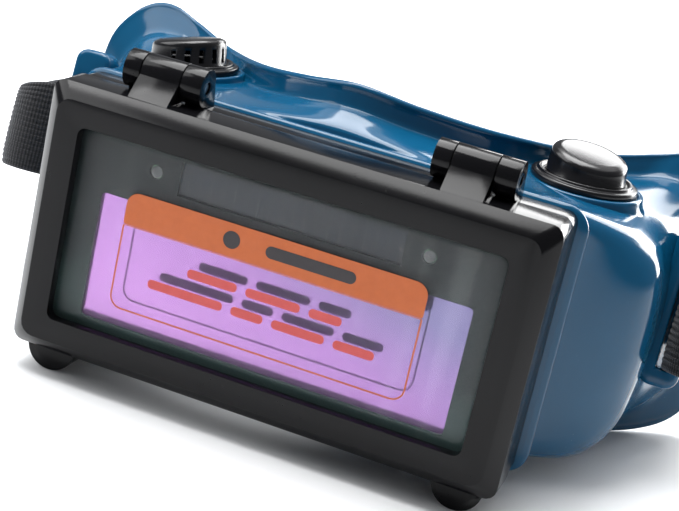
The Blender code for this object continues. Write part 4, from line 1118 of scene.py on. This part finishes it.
HOLE_REACH = 0.0120                 # half the depth of a vent's cutting tool
LUG_REACH = (0.0790, 0.0892)        # inner and outer x
LUG_HEIGHTS = (-0.0178, 0.0232)     # from the strap's middle
LUG_HALF_LENGTH = 0.0040
LUG_SLOT_X = 0.0845
LUG_SLOT_WIDTH = 0.0032
LUG_CORNER, LUG_EDGE, LUG_SLOT_EDGE = 0.0034, 0.0014, 0.0005     # radii


def block(width, height, y0, y1, x=0.0, z=0.0):
    bm = bmesh.new()
    bmesh.ops.create_cube(bm, size=1.0)
    bmesh.ops.scale(bm, vec=(width, y1 - y0, height), verts=bm.verts)
    bmesh.ops.translate(bm, vec=(x, (y0 + y1) / 2, z), verts=bm.verts)
    return bm


def lug_mesh(side):
    """The rounded block of vinyl that the strap's slot is cut through."""
    inner, outer = LUG_REACH
    low, high = LUG_HEIGHTS
    bm = block(outer - inner, high - low, -LUG_HALF_LENGTH, LUG_HALF_LENGTH,
               x=side * (outer + inner) / 2, z=(high + low) / 2)
    deep = [edge for edge in bm.edges if abs(edge.verts[0].co.y - edge.verts[1].co.y) > 1e-4]
    bmesh.ops.bevel(bm, geom=deep, offset=LUG_CORNER, segments=6, profile=0.5, affect="EDGES")
    rim = [edge for edge in bm.edges
           if abs(abs(edge.verts[0].co.y) - LUG_HALF_LENGTH) < 1e-6
           and abs(edge.verts[0].co.y - edge.verts[1].co.y) < 1e-6]
    bmesh.ops.bevel(bm, geom=rim, offset=LUG_EDGE, segments=5, profile=0.5, affect="EDGES")
    return bm


def make_body():
    """The vinyl body with its vent holes, the collars round them and the two strap lugs."""
    body = piece_from("vinyl_body", make_body_mesh(), BLUE_VINYL)
    holes = []
    collars = []
    for _, level, _, scale, place, _ in vent_parts():
        bore = VENT_HOLE * scale
        holes.append(placed(lathe([(0.0, -HOLE_REACH), (bore, -HOLE_REACH),
                                   (bore, HOLE_REACH), (0.0, HOLE_REACH)], 48), place))
        seat = (VENT_BASE_RADIUS + VENT_COLLAR) * scale
        spread = COLLAR_SPREAD * scale
        deep = COLLAR_DEPTHS[level]
        collars.append(placed(lathe(rounded([
            (bore, deep), (bore, 0.0), (seat - 0.0009, 0.0),
            (seat - 0.0008, 0.0007), (seat + 0.0004, 0.0007), (seat + 0.0007, -0.0010),
            (seat + 0.0011, -0.0022), (seat + spread, -0.0034), (seat + spread, deep),
            (bore + 0.0001, deep)], 0.0006), 96), place))
    cut(body, merged(holes))
    lugs = []
    stand = Matrix.Translation(DESIGN) @ STRAP_FRAME
    for side, _ in SIDES:
        lug = piece_from("lug", lug_mesh(side), BLUE_VINYL)
        cut(lug, block(LUG_SLOT_WIDTH, STRAP_WIDTH + 2 * GAP, -2 * LUG_HALF_LENGTH,
                       2 * LUG_HALF_LENGTH, x=side * LUG_SLOT_X))
        ease(lug, LUG_SLOT_EDGE, 3, 60.0)
        settle(lug)
        lugs.append(placed(mesh_of(lug), stand))
        drop(lug)
    whole = merged([mesh_of(body)] + collars + lugs)
    drop(body)
    body = smooth(piece_from("vinyl_body", whole, BLUE_VINYL), 42.0)
    one_material(body)
    keep(body, "goggle", "blue_vinyl", "body_shell")


# ---------------------------------------------------------------- printed film

LABEL_LEFT, LABEL_RIGHT = -0.0383, 0.0358
LABEL_TOP, LABEL_LOW = 0.0116, -0.0170
BAND_LOW = 0.0036
PRINT_Y = 0.00324           # just in front of the film
PRINT_THICK = 0.00005
MARK_LIFT = 0.00006         # the dark marks stand this far in front of the band
DOT_X, DOT_Z, DOT_RADIUS, DOT_SIDES = -0.0115, 0.0077, 0.0021, 30
HEADING_BAR = (-0.0030, 0.0190, 0.0062, 0.0091)      # left, right, low, high
BORDER_LINE = 0.00038
BAR_HALF_HEIGHT = 0.0011
BAR_GAP = 0.0022
TEXT_ROWS = (                # height of each row's middle and the lengths of its bars
    (-0.0032, (0.0125, 0.0135, 0.0080)),
    (-0.0086, (0.0190, 0.0080, 0.0130, 0.0100)),
)


def rounded_loop(left, right, low, high, radii, steps=8):
    """Corner points, upper left first and clockwise; radii in the same order."""
    centres = ((left, high, 1, -1, 180, 90), (right, high, -1, -1, 90, 0),
               (right, low, -1, 1, 0, -90), (left, low, 1, 1, -90, -180))
    loop = []
    for (x, z, sx, sz, start, end), radius in zip(centres, radii):
        for k in range(steps + 1):
            turn = math.radians(start + (end - start) * k / steps)
            loop.append((x + sx * radius + radius * math.cos(turn),
                         z + sz * radius + radius * math.sin(turn)))
    return loop


def plate_from(loop, hole=None):
    """A thin printed layer bounded by a loop, or by two loops of as many points."""
    bm = bmesh.new()
    edges = [loop, hole] if hole else [loop]
    layers = [[[bm.verts.new(DESIGN + Vector((x, y, z))) for x, z in edge] for edge in edges]
              for y in (PRINT_Y, PRINT_Y + PRINT_THICK)]
    for layer in layers:
        if hole:
            quads(bm, *layer)
        else:
            bm.faces.new(layer[0])
    for near, far in zip(*layers):
        quads(bm, near, far)
    bmesh.ops.recalc_face_normals(bm, faces=bm.faces)
    return bm


def make_label():
    """A plain coloured band, a thin border and rows of plain bars in place of wording."""
    band = plate_from(rounded_loop(LABEL_LEFT, LABEL_RIGHT, BAND_LOW, LABEL_TOP,
                                   (0.0032, 0.0032, 0.0006, 0.0006)))
    border = plate_from(
        rounded_loop(LABEL_LEFT, LABEL_RIGHT, LABEL_LOW, BAND_LOW - 0.0001,
                     (0.0004, 0.0004, 0.0032, 0.0032)),
        rounded_loop(LABEL_LEFT + BORDER_LINE, LABEL_RIGHT - BORDER_LINE,
                     LABEL_LOW + BORDER_LINE, BAND_LOW - 0.0003,
                     (0.0002, 0.0002, 0.0028, 0.0028)))
    keep(smooth(piece_from("film_band_print", merged([band, border]), ORANGE_INK)),
         "flip_front", "film_orange")
    turns = [-2 * math.pi * k / DOT_SIDES for k in range(DOT_SIDES)]
    dot = [(DOT_X + DOT_RADIUS * math.cos(turn), DOT_Z + DOT_RADIUS * math.sin(turn))
           for turn in turns]
    forward = Matrix.Translation((0.0, -MARK_LIFT, 0.0))
    dark = [placed(plate_from(rounded_loop(*HEADING_BAR, (0.0014,) * 4)), forward),
            placed(plate_from(dot), forward)]
    keep(smooth(piece_from("film_band_marks", merged(dark), BLACK_INK)), "flip_front",
         "film_orange")
    bars = []
    for z, widths in TEXT_ROWS:
        spare = LABEL_RIGHT - LABEL_LEFT - sum(widths) - BAR_GAP * (len(widths) - 1)
        x = LABEL_LEFT + spare / 2
        for width in widths:
            bars.append(plate_from(rounded_loop(x, x + width, z - BAR_HALF_HEIGHT,
                                                z + BAR_HALF_HEIGHT, (0.0010,) * 4)))
            x += width + BAR_GAP
    keep(smooth(piece_from("film_text_bars", merged(bars), RED_INK)), "flip_front",
         "film_orange")


# ---------------------------------------------------------------- frames and small pieces

def make_hard_pieces():
    """Eased copies: node, edge radius, material, body and slot of each."""
    for node, width, mat, body, slot in (
            ("flip_frame", 0.00040, FRAME_BLACK, "flip_front", "black_plastic"),
            ("rear_frame", 0.00045, FRAME_BLACK, "goggle", "black_plastic"),
            ("filter_retainer", 0.00025, HIDDEN_BLACK, "flip_front", "black_plastic"),
            ("clamp_ring", 0.00035, HIDDEN_BLACK, "goggle", "black_plastic"),
            ("filter_case_front", 0.00018, CASE_GREY, "flip_front", "case_grey"),
            ("filter_case_back", 0.00018, CASE_GREY, "flip_front", "case_grey"),
            ("front_cover_plate", 0.00015, CLEAR_PLATE, "flip_front", "clear_plastic"),
            ("clear_inner_lens", 0.00020, CLEAR_PLATE, "goggle", "clear_plastic"),
            ("strap_slider_left", 0.00045, VENT_BLACK, "strap_slider_left", "black_plastic"),
            ("strap_slider_right", 0.00045, VENT_BLACK, "strap_slider_right", "black_plastic")):
        keep(eased_copy(node, width, mat), body, slot, node)


SCREWS_ACROSS, SCREWS_UP = 0.1113, 0.0400     # spacing of the clamp screws
SCREW_HEAD, SCREW_SHANK = 0.0017, 0.0009      # radii
THREAD_STEPS, THREAD_LENGTH, THREAD_DEPTH = 14, 0.0036, 0.00022
RECESS_LONG, RECESS_WIDE, RECESS_HIGH = 0.0018, 0.0004, 0.0012
HEAD_TOP = 0.0011


def make_screws():
    """Four pan-head screws with a cross recess, in the corners of the clamp ring."""
    profile = rounded([(0.0, HEAD_TOP), (SCREW_HEAD * 0.6, 0.00105), (SCREW_HEAD, 0.0006),
                       (SCREW_HEAD, 0.0), (SCREW_SHANK, 0.0)], 0.00025)
    for k in range(THREAD_STEPS):
        profile.append((SCREW_SHANK - (THREAD_DEPTH if k % 2 else 0.0),
                        -0.0002 - THREAD_LENGTH * k / THREAD_STEPS))
    profile += [(SCREW_SHANK * 0.8, -0.0044), (0.0, -0.0054)]
    screw = piece_from("clamp_screws", lathe(profile, 32), STEEL)
    for across, along in ((RECESS_LONG, RECESS_WIDE), (RECESS_WIDE, RECESS_LONG)):
        cut(screw, block(across, RECESS_HIGH, -along / 2, along / 2, z=HEAD_TOP))
    corner_tree(STEEL).run(screw, Width=SCREWS_ACROSS, Height=SCREWS_UP)
    back = Matrix.Translation(DESIGN + Vector((0.0, CLAMP_BACK_Y + GAP, 0.0)))
    screw.data.transform(back @ Matrix.Rotation(-math.pi / 2, 4, "X"))
    smooth(screw, 30.0)
    keep(screw, "goggle", "steel", "clamp_screw_upper_left", "clamp_screw_lower_left",
         "clamp_screw_upper_right", "clamp_screw_lower_right")


def dress_nodes():
    """Better materials on the CAD nodes that stay as they are."""
    pairs = [("arc_sensor_", DARK_GLASS), ("coin_cell_", STEEL), ("hinge_pin_", STEEL)]
    plain = [("protective_film", CLEAR_FILM), ("filter_glass", VIOLET_GLASS),
             ("lcd_shutter", DARK_GLASS), ("solar_strip", CELLS), ("circuit_board", BOARD)]
    for node, mat in plain + [(name + side, mat) for name, mat in pairs for _, side in SIDES]:
        dress(NODES[node].data, mat)


make_camera()
make_studio()
make_floor()
make_body()
make_vent_bases()
make_vent_caps()
make_headband()
make_hard_pieces()
make_screws()
make_label()
dress_nodes()
